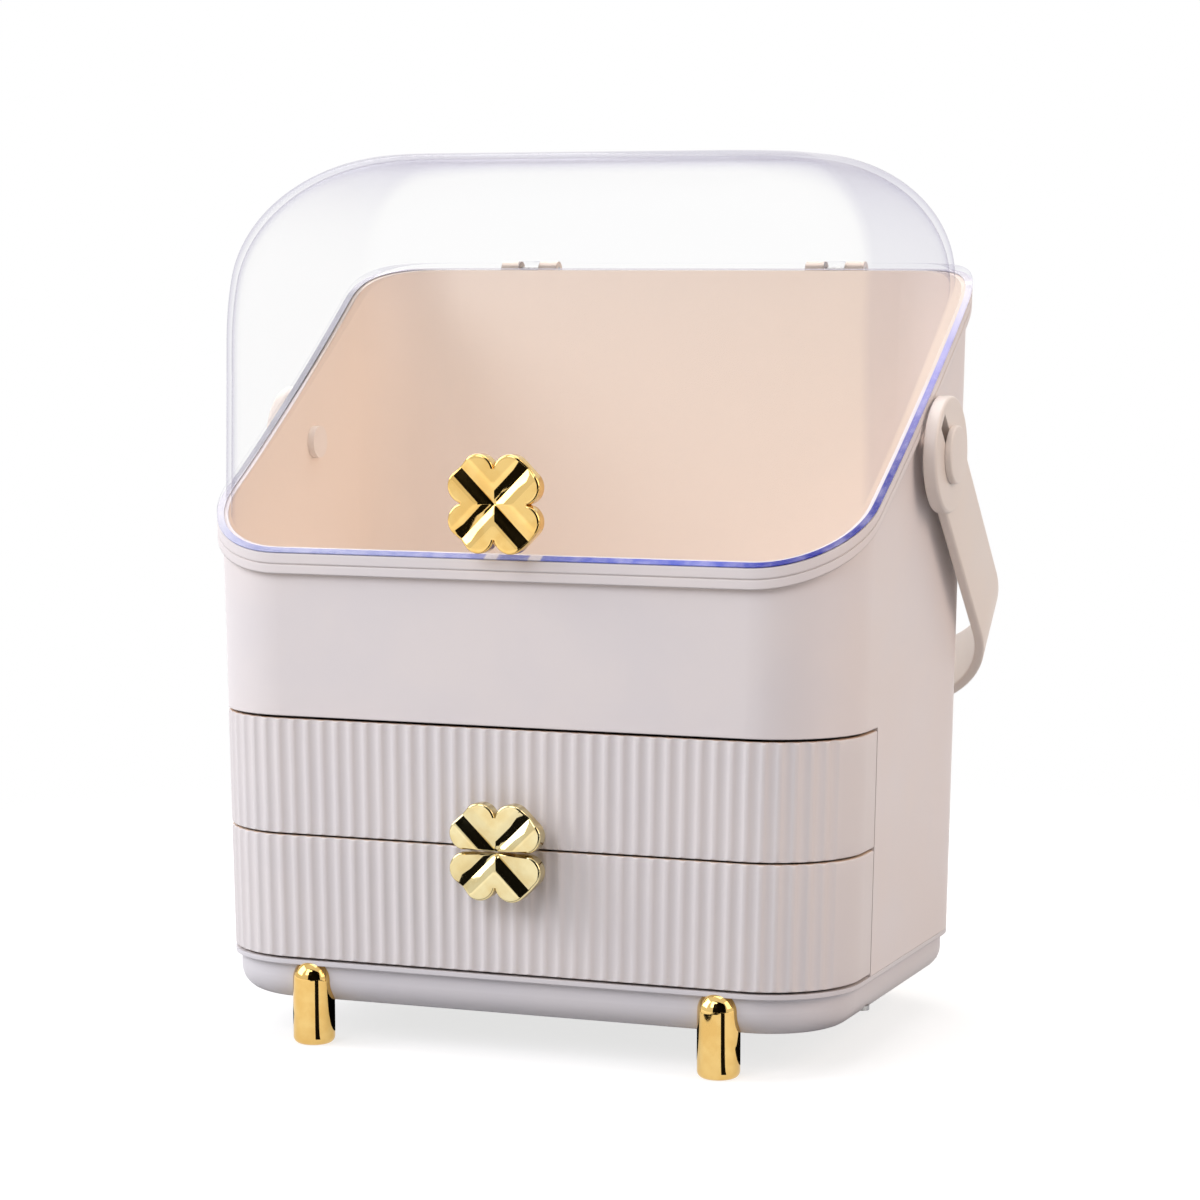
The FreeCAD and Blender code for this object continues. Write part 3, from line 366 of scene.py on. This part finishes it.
def front_plastic():
    """Ivory plastic, with painted warm shade on the level faces that line the seams."""
    finish = moulded("front_ivory", linear(233, 228, 229), tint=0.02)
    # painted shade: the level top and bottom faces of each front are painted warm, for the shade inside the seams
    level = finish.axis(finish.node("TexCoord", {}, {}, "Normal"), "Z").absolute().ramp(0.72, 0.92)
    plain = Wire(finish, finish.shader.inputs["Base Color"].links[0].from_socket)
    finish.shade(base_color=finish.colour_mix(level, plain, linear(226, 206, 188)))
    return finish


front_ivory = front_plastic()
sill_height = 141.7
extra_above, extra_below = 0.35, 0.2     # the outer seams gape a little more than the one between the drawers
DRAWERS = {"upper": (front_split + seam / 2, sill_height - seam - extra_above, 1),
           "lower": (base_top + seam + extra_below, front_split - seam / 2, -1)}
box_ivory = moulded("drawer_box_ivory", linear(238, 233, 228), roughness=0.5, edge_mm=0.5)
runner_ivory = moulded("runner_ivory", linear(224, 219, 213), roughness=0.5)
for drawer, (bottom, top, half) in DRAWERS.items():
    fluted_front(drawer + "_fluted_front", bottom, top, front_ivory, drawer + "_drawer", drawer + "_drawer_front")
    dress(drawer + "_drawer_box", box_ivory)
    for side in ("left", "right"):
        dress("%s_runner_%s" % (drawer, side), runner_ivory)


# ---- Clover knobs ---------------------------------------------------------------------------
# Four-leaf clovers moulded in plastic and plated mirror gold, with a sharp valley along each
# diagonal. The lid has a whole one; the drawers share one, parted along the line between them.

lobe_radius, lobe_near, lobe_far = 7.25, 7.1, 13.2
knob_thickness, knob_standoff = 5.5, 8.0
valley_depth, valley_reach = 1.8, 6.2
knob_edge = 1.1


def clover_outline():
    """The outline over a quarter turn, from the right notch to the top notch, with its outward normals.

    It is two circles side by side about the diagonal, joined by the straight line that touches both.
    """
    notch = np.arctan2(-lobe_near, np.sqrt(lobe_radius ** 2 - lobe_near ** 2))
    lobe = np.linspace(notch, np.pi / 4, 40)
    first = np.stack([lobe_far + lobe_radius * np.cos(lobe), lobe_near + lobe_radius * np.sin(lobe)], axis=-1)
    normal = np.stack([np.cos(lobe), np.sin(lobe)], axis=-1)
    diagonal = first[-1:] * 0.5 + first[-1:, ::-1] * 0.5
    points = np.vstack([first, diagonal, first[::-1, ::-1]])
    normals = np.vstack([normal, normal[-1:], normal[::-1, ::-1]])
    return points, normals


def valley(x, y):
    """How far the plate lies below its flats: a parabola that meets the diagonal at a slope and ends level."""
    away = np.minimum(np.abs(x - y), np.abs(x + y)) / np.sqrt(2)
    return valley_depth * np.clip(1 - away / valley_reach, 0, 1) ** 2


def clover(name, height, finish, body, node, quarters, half=0):
    """A plate whose grid runs from its centre to its outline, over a rounded rim, and back behind.

    half is 1 or -1 for the part above or below the parting line, whose edge is rounded too.
    """
    points, normals = [], []
    for quarter in quarters:
        corner = np.array([[0, -1], [1, 0]]) if quarter % 2 else np.eye(2)
        corner = corner * (-1 if quarter > 1 else 1)
        outline, outward = clover_outline()
        points.append(outline @ corner.T)
        normals.append(outward @ corner.T)
    points, normals = np.vstack(points), np.vstack(normals)
    inner = points - normals * knob_edge
    share = np.linspace(0, 1, 22)[:, None, None] ** 0.8
    flat = inner[None] * share
    bend = np.linspace(0, np.pi / 2, 9)[1:]
    rim = inner[None] + normals[None] * (knob_edge * np.sin(bend))[:, None, None]
    drop = np.concatenate([np.zeros(len(share)), knob_edge * (1 - np.cos(bend))])[:, None]
    plane = np.concatenate([flat, rim])
    x, y = plane[..., 0], plane[..., 1]
    front = knob_thickness - valley(x, y) - drop
    if half:
        parting_round = 0.9
        away = np.abs(y)
        front = front - parting_round * (1 - np.sqrt(1 - np.clip(1 - away / parting_round, 0, 1) ** 2))
        y = half * (seam / 2 + away * (1 - seam / 2 / (lobe_far + lobe_radius)))
    back_x, back_y = np.stack([x[-1], x[-1] * 0]), np.stack([y[-1], y[-1] * 0 + (half * seam / 2)])
    x = np.vstack([x, back_x])
    y = np.vstack([y, back_y])
    front = np.vstack([front, np.zeros((2, front.shape[1]))])
    grid = np.stack([x, -knob_standoff - front, height + y], axis=-1)
    whole = half == 0
    made = grid if whole else grid.transpose(1, 0, 2)
    return skin(name, made, finish, body, (node,), wrap=(False, whole), ends=(not whole, not whole),
                sharp_degrees=28)


clover("lid_clover", 234.8, gold_plate, "lid", "lid_knob", (0, 1, 2, 3))
clover("upper_clover_half", front_split, gold_pale, "upper_drawer", "upper_knob_half", (0, 1), 1)
clover("lower_clover_half", front_split, gold_pale, "lower_drawer", "lower_knob_half", (2, 3), -1)


def turned(name, radius, along, centre, axis, finish, body, replaced=(), sides=64):
    """A lathe form: radii at distances along an axis, carried round it."""
    angle = np.linspace(0, 2 * np.pi, sides, endpoint=False)
    ring = np.outer(radius, np.cos(angle)), np.outer(radius, np.sin(angle))
    lengths = np.repeat(np.asarray(along, float)[:, None], sides, axis=1)
    order = {"x": (lengths, ring[0], ring[1]), "y": (ring[1], lengths, ring[0]), "z": (ring[0], ring[1], lengths)}
    grid = np.stack(order[axis], axis=-1) + centre
    return skin(name, grid, finish, body, replaced, wrap=(False, True), sharp_degrees=35)


for name, body, height, seat in (("lid_clover_stem", "lid", 234.8, 1.0),
                                 ("upper_clover_stem", "upper_drawer", front_split + 8.2, flute_depth),
                                 ("lower_clover_stem", "lower_drawer", front_split - 8.2, flute_depth)):
    turned(name, [0, 4.6, 4.6, 4, 4, 0], [seat, seat, -1.2, -1.8, -knob_standoff - 2, -knob_standoff - 2],
           (0, 0, height), "y", gold_plate, body)


# ---- Lid ------------------------------------------------------------------------------------
# A dome pressed in clear plastic, 2.2 mm thick, cut along the slanted rim with a thickened flange that
# rests on the collar. Its cut edge gathers light, which is painted on it as a fine blue line.

rim_front, rim_start, rim_sweep, rim_round, rim_level = 210.5, 3.0, 1500.0, 67.0, 1.7
case_depth = 205.0
lid_rise, lid_wall, lid_inset, lid_gap, flange_height = 50.5, 2.2, 1.0, 0.3, 3.0
lid_top = rim_back + lid_rise
lid_front_round, lid_side_round, lid_back_round, lid_lean = 80.0, 54.0, 48.0, 3.0


def rim(y):
    """The height of the rim at a depth: level, then a long hollow arc, then a round that ends level."""
    run, rise = case_depth + rim_level + rim_start, rim_back - rim_round - rim_front
    share = (2 * rim_sweep * rim_round + rim_round ** 2 - run ** 2 - rise ** 2) / (2 * rim_sweep)
    slope = np.arctan2(rise, run) + np.arcsin(share / np.hypot(run, rise))
    hollow = np.array([-rim_start - rim_sweep * np.sin(slope), rim_front + rim_sweep * np.cos(slope)])
    crest = np.array([case_depth + rim_level, rim_back - rim_round])
    meeting = hollow + (crest - hollow) * rim_sweep / (rim_sweep + rim_round)
    sweep = hollow[1] - np.sqrt(rim_sweep ** 2 - (y - hollow[0]) ** 2)
    round_off = crest[1] + np.sqrt(np.clip(rim_round ** 2 - (y - crest[0]) ** 2, 0, None))
    return np.select([y < -rim_start, y < meeting[0], y < crest[0]], [rim_front, sweep, round_off], rim_back)


FLAT, CORNER = 40, 20


def around(half, front, back, radius):
    """A rectangle with round corners seen from above, from the middle of the back round by the left; X and Y.

    Every argument may be an array of rows; the columns keep their share of each edge and corner.
    """
    half, front, back, radius = [np.broadcast_to(np.asarray(v, float), np.shape(half))[..., None]
                                 for v in (half, front, back, radius)]
    along = np.linspace(-1, 1, FLAT, endpoint=False)
    turn = np.linspace(0, np.pi / 2, CORNER, endpoint=False)
    cos, sin = np.cos(turn), np.sin(turn)
    middle, deep = (front + back) / 2, (back - front) / 2 - radius
    straight = half - radius
    x = np.concatenate([straight * along, straight + radius * sin, half + 0 * along, straight + radius * cos,
                        -straight * along, -straight - radius * sin, -half + 0 * along, -straight - radius * cos], -1)
    y = np.concatenate([front + 0 * along, front + radius - radius * cos, middle + deep * along,
                        back - radius + radius * sin, back + 0 * along, back - radius + radius * cos,
                        middle - deep * along, front + radius - radius * sin], -1)
    return x, y


def drawn_in(height, top, radius):
    """How far a round of that radius has drawn a side in at a height under the top."""
    share = np.clip(1 - (top - height) / radius, 0, 1)
    return radius * (1 - np.sqrt(1 - share ** 2))


def dome_level(height, grow):
    """The dome's outline at an array of heights, one height to each point of it."""
    top = lid_top + grow
    side = drawn_in(height, top, lid_side_round)
    lean = lid_lean * np.clip(height - rim_front, 0, None) / (lid_top - rim_front)
    half = half_width(np.minimum(height, rim_front)) + grow - lid_inset - side - lean
    front = lid_inset - grow + drawn_in(height, top, lid_front_round)
    back = case_depth - lid_inset + grow - drawn_in(height, top, lid_back_round)
    return half, front, back, case_corner - lid_inset + grow - side / 4


def on_dome(height, grow):
    """The points of the dome at a height given for every column."""
    half, front, back, radius = dome_level(height, grow)
    x, y = pick(half, front, back, radius)
    return np.stack([x, y, height], axis=-1)


def pick(half, front, back, radius):
    """One column's own point from outlines that differ from column to column."""
    x, y = around(half, front, back, radius)
    own = np.arange(x.shape[-1])
    return x[..., own, own], y[..., own, own]


def on_rim(outline, lift):
    """Where a drafted outline meets the rim line, lifted: the height is found by repeating, as it barely moves."""
    columns = 4 * (FLAT + CORNER)
    height = np.full(columns, 260.0)
    for turn in range(30):
        x, y = outline(height)
        height = rim(y) + lift
    return np.stack([x, y, height], axis=-1)


def dome_outline(grow):
    return lambda height: pick(*dome_level(height, grow))


def flange_outline(grow):
    return lambda height: pick(half_width(height) + grow, 0 * height - grow, 0 * height + case_depth + grow,
                               0 * height + case_corner + grow)


def dome_rows(grow, lift, count, rings):
    """Rows up the dome from the lifted rim to its top, then rings across its level top to the middle."""
    edge = on_rim(dome_outline(grow), lift)
    share = np.sin(np.linspace(0, np.pi / 2, count))[:, None]
    height = edge[None, :, 2] + (lid_top + grow - edge[None, :, 2]) * share
    side = on_dome(height, grow)
    middle = side[-1].mean(axis=0)
    shrink = np.linspace(1, 0, rings)[1:, None, None]
    return np.concatenate([side, middle + (side[-1:] - middle) * shrink])


def clear_plastic():
    """Clear polished plastic as a thin wall: what lies behind shows through, less of it at a slant."""
    finish = Finish("lid_clear", roughness=0.04, specular_ior_level=0.6)
    place = finish.place()
    smear = finish.noise(place, 14, 4)
    cloud = finish.noise(place, 55, 2)
    normal = finish.bump(cloud, 0.5, 0.12)
    finish.shade(base_color=finish.colour_mix(cloud.ramp(0.3, 0.7), linear(186, 187, 197), linear(196, 195, 202)),
                 roughness=smear.ramp(0.4, 0.8, 0.02, 0.07), normal=normal)
    slant = finish.node("LayerWeight", {}, {"Blend": 0.5, "Normal": normal}, "Facing")
    lost = finish.colour_mix(slant.ramp(0.55, 0.98), (0.997, 0.997, 0.997), linear(234, 233, 240))
    edge = slant.ramp(0.74, 1.0)
    film = edge * edge * 0.62 + slant.ramp(0.2, 1.0, 0.006, 0.035)
    film = film * (1.0 - finish.node("LightPath", {}, {}, "Is Shadow Ray") * 0.85)
    see = finish.node("BsdfTransparent", {}, {"Color": lost})
    mixed = finish.node("MixShader", {}, {0: film, 1: see, 2: Wire(finish, finish.shader.outputs[0])})
    finish.tree.links.new(mixed.socket, finish.output.inputs["Surface"])
    return finish


def gathered_light():
    """The lid's cut edge, painted with the light that has run along inside the plastic and comes out there.

    The painted light is deepest blue round the front right corner, paler violet up the right side and grey on the
    left, with two short breaks under the knob.
    """
    finish = Finish("lid_edge", roughness=0.12, specular_ior_level=0.5)
    place = finish.place()
    x, y = finish.axis(place, "X"), finish.axis(place, "Y") - case_front / 1000
    streak = finish.noise(finish.node("VectorMath", {"operation": "MULTIPLY"}, {0: place, 1: (1, 1, 0.2)}), 9, 3)
    front = finish.colour_mix(x.ramp(-0.12, 0.09), linear(150, 156, 200), linear(74, 92, 206))
    corner = finish.colour_mix(x.ramp(0.085, 0.125), front, linear(8, 22, 150))
    side = finish.colour_mix(y.ramp(0.05, 0.14), corner, linear(164, 164, 236))
    rear = finish.colour_mix(y.ramp(0.12, 0.18), side, linear(218, 217, 226))
    left = finish.colour_mix(x.ramp(-0.145, -0.125, 1.0, 0.0), rear, linear(202, 202, 212))
    breaks = (x + 0.0060).absolute().ramp(0.0022, 0.0034, 1.0, 0.0) + (x - 0.0135).absolute().ramp(
        0.0022, 0.0034, 1.0, 0.0)
    colour = finish.colour_mix(breaks * y.ramp(0.01, 0.02, 1.0, 0.0), left, linear(216, 214, 226))
    colour = finish.colour_mix(streak.ramp(0.35, 0.75, 0.0, 0.30), colour, linear(226, 224, 240))
    finish.shade(base_color=colour, roughness=streak.ramp(0.3, 0.7, 0.08, 0.2),
                 normal=finish.bump(streak, 0.1, 0.3))
    return finish


lid_clear = clear_plastic()
edge_height = 0.5
outer = dome_rows(0.0, lid_gap + flange_height + 0.6, 56, 10)
inner = dome_rows(-lid_wall, lid_gap + edge_height, 56, 10)
bend = np.linspace(0, np.pi / 2, 4)
flange = [on_rim(flange_outline(collar_proud - 0.1), lid_gap + edge_height)]
flange += [on_rim(flange_outline(collar_proud - 0.5 * (1 - np.cos(a))),
                  lid_gap + flange_height - 0.5 * (1 - np.sin(a))) for a in bend]
flange += [on_rim(dome_outline(0.5), lid_gap + flange_height), on_rim(dome_outline(0.1), lid_gap + flange_height + 0.2)]
skin("clear_lid", np.concatenate([inner[::-1], np.stack(flange), outer]), lid_clear, "lid", ("lid_shell",),
     wrap=(False, True), sharp_degrees=60)
# the band's colour is painted light: the glow of the lid's cut edge
band = [on_rim(flange_outline(collar_proud - 0.3 * (1 - np.sin(a))), lid_gap + 0.3 * (1 - np.cos(a))) for a in bend]
band += [on_rim(flange_outline(grow), lid_gap + edge_height - 0.02) for grow in (collar_proud, -0.6)]
band += [on_rim(flange_outline(-0.6), lid_gap)]
skin("lid_edge", np.stack(band), gathered_light(), "lid", wrap=(True, True))


# ---- Lid hinge ------------------------------------------------------------------------------
# Two knuckles moulded on the lid's flange, each between a pair of knuckles on the case, turn on steel pins.

hinge_radius, knuckle_length = 4.0, 9.0
hinge_y = case_depth + collar_proud + 0.6 + hinge_radius
for side, x in (("left", -75), ("right", 75)):
    turn = np.linspace(np.pi / 2, -np.pi - np.arcsin(lid_gap / hinge_radius), 40)
    outline = np.stack([hinge_y + hinge_radius * np.cos(turn), rim_back + hinge_radius * np.sin(turn)], axis=-1)
    foot = [(case_depth + 1.5, rim_back + lid_gap), (case_depth + 1.5, rim_back + hinge_radius)]
    outline = np.vstack([outline, foot])
    middle = np.array([hinge_y - 1, rim_back + 1])
    rows = [(x + along, middle + (outline - middle) * size) for along, size in
            ((-knuckle_length / 2, 0.93), (0.35 - knuckle_length / 2, 1), (knuckle_length / 2 - 0.35, 1),
             (knuckle_length / 2, 0.93))]
    grid = np.stack([np.column_stack([np.full(len(ring), along), ring]) for along, ring in rows])
    skin("lid_knuckle_" + side, grid, lid_clear, "lid", wrap=(False, True), ends=(True, True))


# ---- Carrying handle ------------------------------------------------------------------------
# One moulding in satin ivory plastic: a strap bent into a bail, with thick round heads that are slotted
# from the bore. It turns on two pins with domed caps, and its grip is pocketed and ribbed inside.

pivot_y, pivot_z, hang = 118.5, 251.5, np.radians(46)
strap_x = half_width(rim_back) + collar_proud + 0.3
strap_width, strap_thick, strap_inside, strap_corner = 39.0, 4.4, 154.0, 60.0
head_radius, head_thick, slot_width, slot_reach = 25.0, 6.0, 8.0, 21.0
pocket_depth, pocket_lip, pocket_length, grip_rib, grip_bays = 2.0, 3.0, 190.0, 2.0, 6
cap_radius, cap_thick = 12.5, 3.0
strap_narrowing = 4.5  # off the upper edge, by the time the strap reaches the grip
handle_ivory = moulded("handle_ivory", linear(236, 227, 220), roughness=0.42, grain_depth=0.008)


def hung(across, width, reach):
    """Points of the hanging handle, from X, a place across the strap and a reach along its arm from the pivot."""
    return np.stack([across, pivot_y + width * np.cos(hang) + reach * np.sin(hang),
                     pivot_z + width * np.sin(hang) - reach * np.cos(hang)], axis=-1)


def strap_line():
    """The strap's inner line from the left head to the right one: X, reach, and the outward normal's share of each."""
    bend = strap_corner - strap_thick
    arm = np.linspace(9, strap_inside - bend, 24, endpoint=False)
    turn = np.linspace(0, np.pi / 2, 30, endpoint=False)
    ribs = pocket_length * (np.arange(1, grip_bays) / grip_bays - 0.5)
    walls = np.concatenate([ribs - grip_rib / 2, ribs + grip_rib / 2, [-pocket_length / 2, pocket_length / 2]])
    grip = np.sort(np.concatenate([np.linspace(bend - strap_x, strap_x - bend, 41), walls - 0.12, walls + 0.12]))
    x = np.concatenate([0 * arm + strap_x, strap_x - bend * (1 - np.cos(turn))])
    reach = np.concatenate([arm, strap_inside - bend * (1 - np.sin(turn))])
    lean = np.concatenate([0 * arm, turn])
    x = np.concatenate([-x, grip, x[::-1]])
    reach = np.concatenate([reach, 0 * grip + strap_inside, reach[::-1]])
    normal_x = np.concatenate([-np.cos(lean), 0 * grip, np.cos(lean[::-1])])
    normal_reach = np.concatenate([np.sin(lean), 0 * grip + 1, np.sin(lean[::-1])])
    return x, reach, normal_x, normal_reach


def strap():
    """A flat section with rounded edges swept along the strap's line, sunk between lips at the grip's pocket."""
    x, reach, normal_x, normal_reach = [v[:, None] for v in strap_line()]
    ribs = pocket_length * (np.arange(1, grip_bays) / grip_bays - 0.5)
    on_rib = np.min(np.abs(x - ribs), axis=1, keepdims=True) < grip_rib / 2
    in_pocket = (np.abs(x) < pocket_length / 2) & (reach > strap_inside - 0.01) & ~on_rib
    round_edge = 1.25
    bend = np.linspace(0, np.pi / 2, 7)
    half, lip = strap_width / 2, strap_width / 2 - pocket_lip
    corner_width, corner_depth = half - round_edge * (1 - np.sin(bend)), round_edge * (1 - np.cos(bend))
    floor = np.concatenate([[-lip - 0.12, -lip + 0.12], np.linspace(-lip, lip, 13)[1:-1], [lip - 0.12, lip + 0.12]])
    width = np.concatenate([floor, corner_width, corner_width[::-1], floor[::-1] * 0.98, -corner_width,
                            -corner_width[::-1]])
    depth = np.concatenate([0 * floor, corner_depth, strap_thick - corner_depth[::-1], 0 * floor + strap_thick,
                            strap_thick - corner_depth, corner_depth[::-1]])
    sunk = np.concatenate([np.abs(floor) < lip, np.zeros(len(width) - len(floor), bool)])
    depth = depth + pocket_depth * (in_pocket & sunk)
    narrower = strap_narrowing * np.clip(reach / strap_inside, 0, 1)
    width = width - narrower * (0.5 + width / strap_width)
    return hung(x + normal_x * depth, width, reach + normal_reach * depth)


def head(sign):
    """A thick disc with rounded rims, from the outline of its bore and slot out to its circle and round behind."""
    side = np.arctan2(slot_width / 2, slot_reach)
    away = np.concatenate([np.linspace(0, side, 8), np.linspace(side, np.pi / 2, 26)[1:],
                           np.linspace(np.pi / 2, np.pi, 22)[1:]])
    hole = np.where(away <= side, slot_reach / np.cos(away), slot_width / 2 / np.maximum(np.sin(away), 1e-3))
    hole = np.where(away > np.pi / 2, slot_width / 2 + 0.05, hole)
    away = np.concatenate([away, -away[-2:0:-1]])
    hole = np.concatenate([hole, hole[-2:0:-1]])
    bend = np.linspace(0, np.pi / 2, 8)
    share = np.linspace(0, 1, 6)[1:-1]
    opened, rim, back = 0.5, 1.5, 0.6
    rows = [(hole, 0 * hole + 0.2), (hole, 0 * hole + head_thick - opened)]
    rows += [(hole + opened * (1 - np.cos(a)), 0 * hole + head_thick - opened * (1 - np.sin(a))) for a in bend[1:]]
    start = hole + opened
    rows += [(start + (head_radius - rim - start) * s, 0 * hole + head_thick) for s in share]
    rows += [(0 * hole + head_radius - rim * (1 - np.sin(a)), 0 * hole + head_thick - rim * (1 - np.cos(a)))
             for a in bend]
    rows += [(0 * hole + head_radius - back * (1 - np.cos(a)), 0 * hole + back * (1 - np.sin(a))) for a in bend]
    rows += [(0 * hole + head_radius - back, 0 * hole)]
    radius, proud = [np.stack(rows_of) for rows_of in zip(*rows)]
    across = sign * (strap_x + proud)
    return hung(across, radius * np.sin(away), -radius * np.cos(away))


skin("carrying_strap", strap(), handle_ivory, "handle", ("bail_handle",), wrap=(False, True),
     ends=(True, True), sharp_degrees=40)
for side, sign in (("left", -1), ("right", 1)):
    skin("handle_head_" + side, head(sign), handle_ivory, "handle", (), wrap=(True, True),
         sharp_degrees=40)
    bend = np.linspace(0, np.pi / 2, 7)
    outer = strap_x + head_thick + 0.15
    shank = slot_width / 2 - 0.1
    edge = 0.9
    radius = np.concatenate([[0, 4.0, 8.0], cap_radius - edge * (1 - np.sin(bend)),
                             [cap_radius, shank, shank, 0]])
    along = np.concatenate([[cap_thick, cap_thick - 0.05, cap_thick - 0.15],
                            cap_thick - 0.3 - edge * (1 - np.cos(bend)), [0, 0, -12, -12]])
    turned("pivot_cap_" + side, radius, sign * (outer + along), (0, pivot_y, pivot_z), "x", handle_ivory, "case",
           ("pivot_pin_" + side,))
    dress("inner_cap_" + side, handle_ivory)


# ---- Studio ---------------------------------------------------------------------------------
# A pale floor and a white surround, soft lamps and the camera.

def lamp(name, place, aim, size, watts, colour=(1, 1, 1)):
    """A soft square lamp that looks at a point; metres."""
    light = bpy.data.lights.new(name, "AREA")
    light.shape = "SQUARE"
    light.size = size
    light.energy = watts
    light.color = colour
    made = bpy.data.objects.new(name, light)
    made.location = place
    made.rotation_euler = (Vector(aim) - Vector(place)).to_track_quat("-Z", "Y").to_euler()
    bpy.context.scene.collection.objects.link(made)


lamp("key_left", (-1.9, -0.9, 1.35), (0, 0, 0.25), 1.5, 30, (0.985, 0.97, 1.0))
lamp("front", (-0.4, -2.1, 1.7), (0, 0, 0.25), 1.4, 19, (0.99, 0.965, 1.0))
lamp("fill_right", (1.9, -0.2, 1.2), (0, 0, 0.25), 1.4, 17, (1.0, 0.76, 0.62))
lamp("top", (0.1, 0.3, 2.2), (0, 0, 0.2), 1.5, 17, (1.0, 0.96, 0.94))
lamp("back_left", (-1.0, 1.2, 1.4), (0, 0, 0.25), 1.2, 11, (1.0, 0.98, 0.96))


def sheet(name, corners, finish):
    """A flat square of the studio, which isn't part of the case; metres."""
    mesh = bpy.data.meshes.new(name)
    mesh.from_pydata(corners, [], [(0, 1, 2, 3)])
    made = bpy.data.objects.new(name, mesh)
    bpy.context.scene.collection.objects.link(made)
    mesh.materials.append(finish.material)
    return made


paper = Finish("white_paper", roughness=0.9, specular_ior_level=0.1)
spot = paper.place()
away = paper.node("VectorMath", {"operation": "LENGTH"}, {0: spot}, "Value")
paper.shade(base_color=paper.colour_mix(paper.noise(spot, 300, 3), (0.34, 0.34, 0.35), (0.37, 0.37, 0.38)))
seen = paper.node("LightPath", {}, {}, "Is Camera Ray")
lit = seen
for ray in ("Is Glossy Ray", "Is Transmission Ray"):
    lit = paper.node("Math", {"operation": "MAXIMUM"}, {0: lit, 1: paper.node("LightPath", {}, {}, ray)})
glow = paper.node("Emission", {}, {"Color": (1.0, 1.0, 0.992), "Strength": away.ramp(0.25, 1.3, 0.74, 1.0)})
nothing = paper.node("Emission", {}, {"Color": (0.0, 0.0, 0.0), "Strength": 0.0})
added = paper.node("MixShader", {}, {0: lit, 1: nothing, 2: glow})
total = paper.node("AddShader", {}, {0: Wire(paper, paper.shader.outputs[0]), 1: added})
faded = paper.node("MixShader", {}, {0: away.ramp(0.34, 0.72) * seen, 1: total,
                                     2: paper.node("BsdfTransparent", {}, {})})
paper.tree.links.new(faded.socket, paper.output.inputs["Surface"])
sheet("floor", [(-8, -8, 0), (8, -8, 0), (8, 8, 0), (-8, 8, 0)], paper)

# Black cards that only mirrors see, so that the gold has something dark to reflect: one upright in front, one on
# the floor before the case, one under its front half and a narrow wedge from each front foot.
card = Finish("black_card", roughness=1.0, specular_ior_level=0.0)
card.shade(base_color=card.colour_mix(card.noise(card.place(), 50), (0.006, 0.006, 0.006), (0.012, 0.012, 0.011)))
cards = {"card_front": [(-0.35, -2.0, 0), (3.2, -2.0, 0), (3.2, -2.0, 3.0), (-0.35, -2.0, 3.0)],
         "card_low": [(-0.05, -0.42, 0.001), (1.6, -0.42, 0.001), (1.6, -1.6, 0.001), (-0.05, -1.6, 0.001)],
         "card_under": [(-0.15, -0.09, 0.001), (0.15, -0.09, 0.001), (0.15, 0.0, 0.001), (-0.15, 0.0, 0.001)]}
wedge_near, wedge_far, wedge_from, wedge_to = 0.014, 0.4, 30, 50     # metres from the foot, degrees from the front
for side in ("left", "right"):
    low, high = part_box("foot_front_" + side)
    cards["card_foot_" + side] = [
        ((low.x + high.x) / 2 + reach * float(np.sin(np.radians(turn))),
         (low.y + high.y) / 2 - reach * float(np.cos(np.radians(turn))), 0.0012)
        for reach, turn in ((wedge_near, wedge_from), (wedge_far, wedge_from),
                            (wedge_far, wedge_to), (wedge_near, wedge_to))]
for name, corners in cards.items():
    black = sheet(name, corners, card)
    black.visible_camera = False
    black.visible_diffuse = False
    black.visible_transmission = False
    black.visible_shadow = False

world = bpy.data.worlds.new("surround")
bpy.context.scene.world = world
world.use_nodes = True
sky = world.node_tree
path = sky.nodes.new("ShaderNodeLightPath")
white = path.outputs["Is Camera Ray"]
for ray in ("Is Transmission Ray", "Is Glossy Ray"):
    either = sky.nodes.new("ShaderNodeMath")
    either.operation = "MAXIMUM"
    sky.links.new(white, either.inputs[0])
    sky.links.new(path.outputs[ray], either.inputs[1])
    white = either.outputs[0]
strength = sky.nodes.new("ShaderNodeMapRange")
strength.inputs["To Min"].default_value = 0.34
strength.inputs["To Max"].default_value = 1.0
sky.links.new(white, strength.inputs["Value"])
sky.links.new(strength.outputs[0], sky.nodes["Background"].inputs["Strength"])
sky.nodes["Background"].inputs["Color"].default_value = (1, 1, 1, 1)

camera_place = Vector((0.5636, (-1347.0 + case_front) / 1000, 0.3334))
camera_aim = Vector((0.04164, case_front / 1000, 0.148))
lens = bpy.data.cameras.new("camera")
lens.lens = 106.54
lens.sensor_width = 36
lens.shift_y = 116.4 / 1200
camera = bpy.data.objects.new("camera", lens)
camera.location = camera_place
camera.rotation_euler = (camera_aim - camera_place).to_track_quat("-Z", "Y").to_euler()
bpy.context.scene.collection.objects.link(camera)
bpy.context.scene.camera = camera

settings = bpy.context.scene.view_settings
settings.view_transform = "Standard"
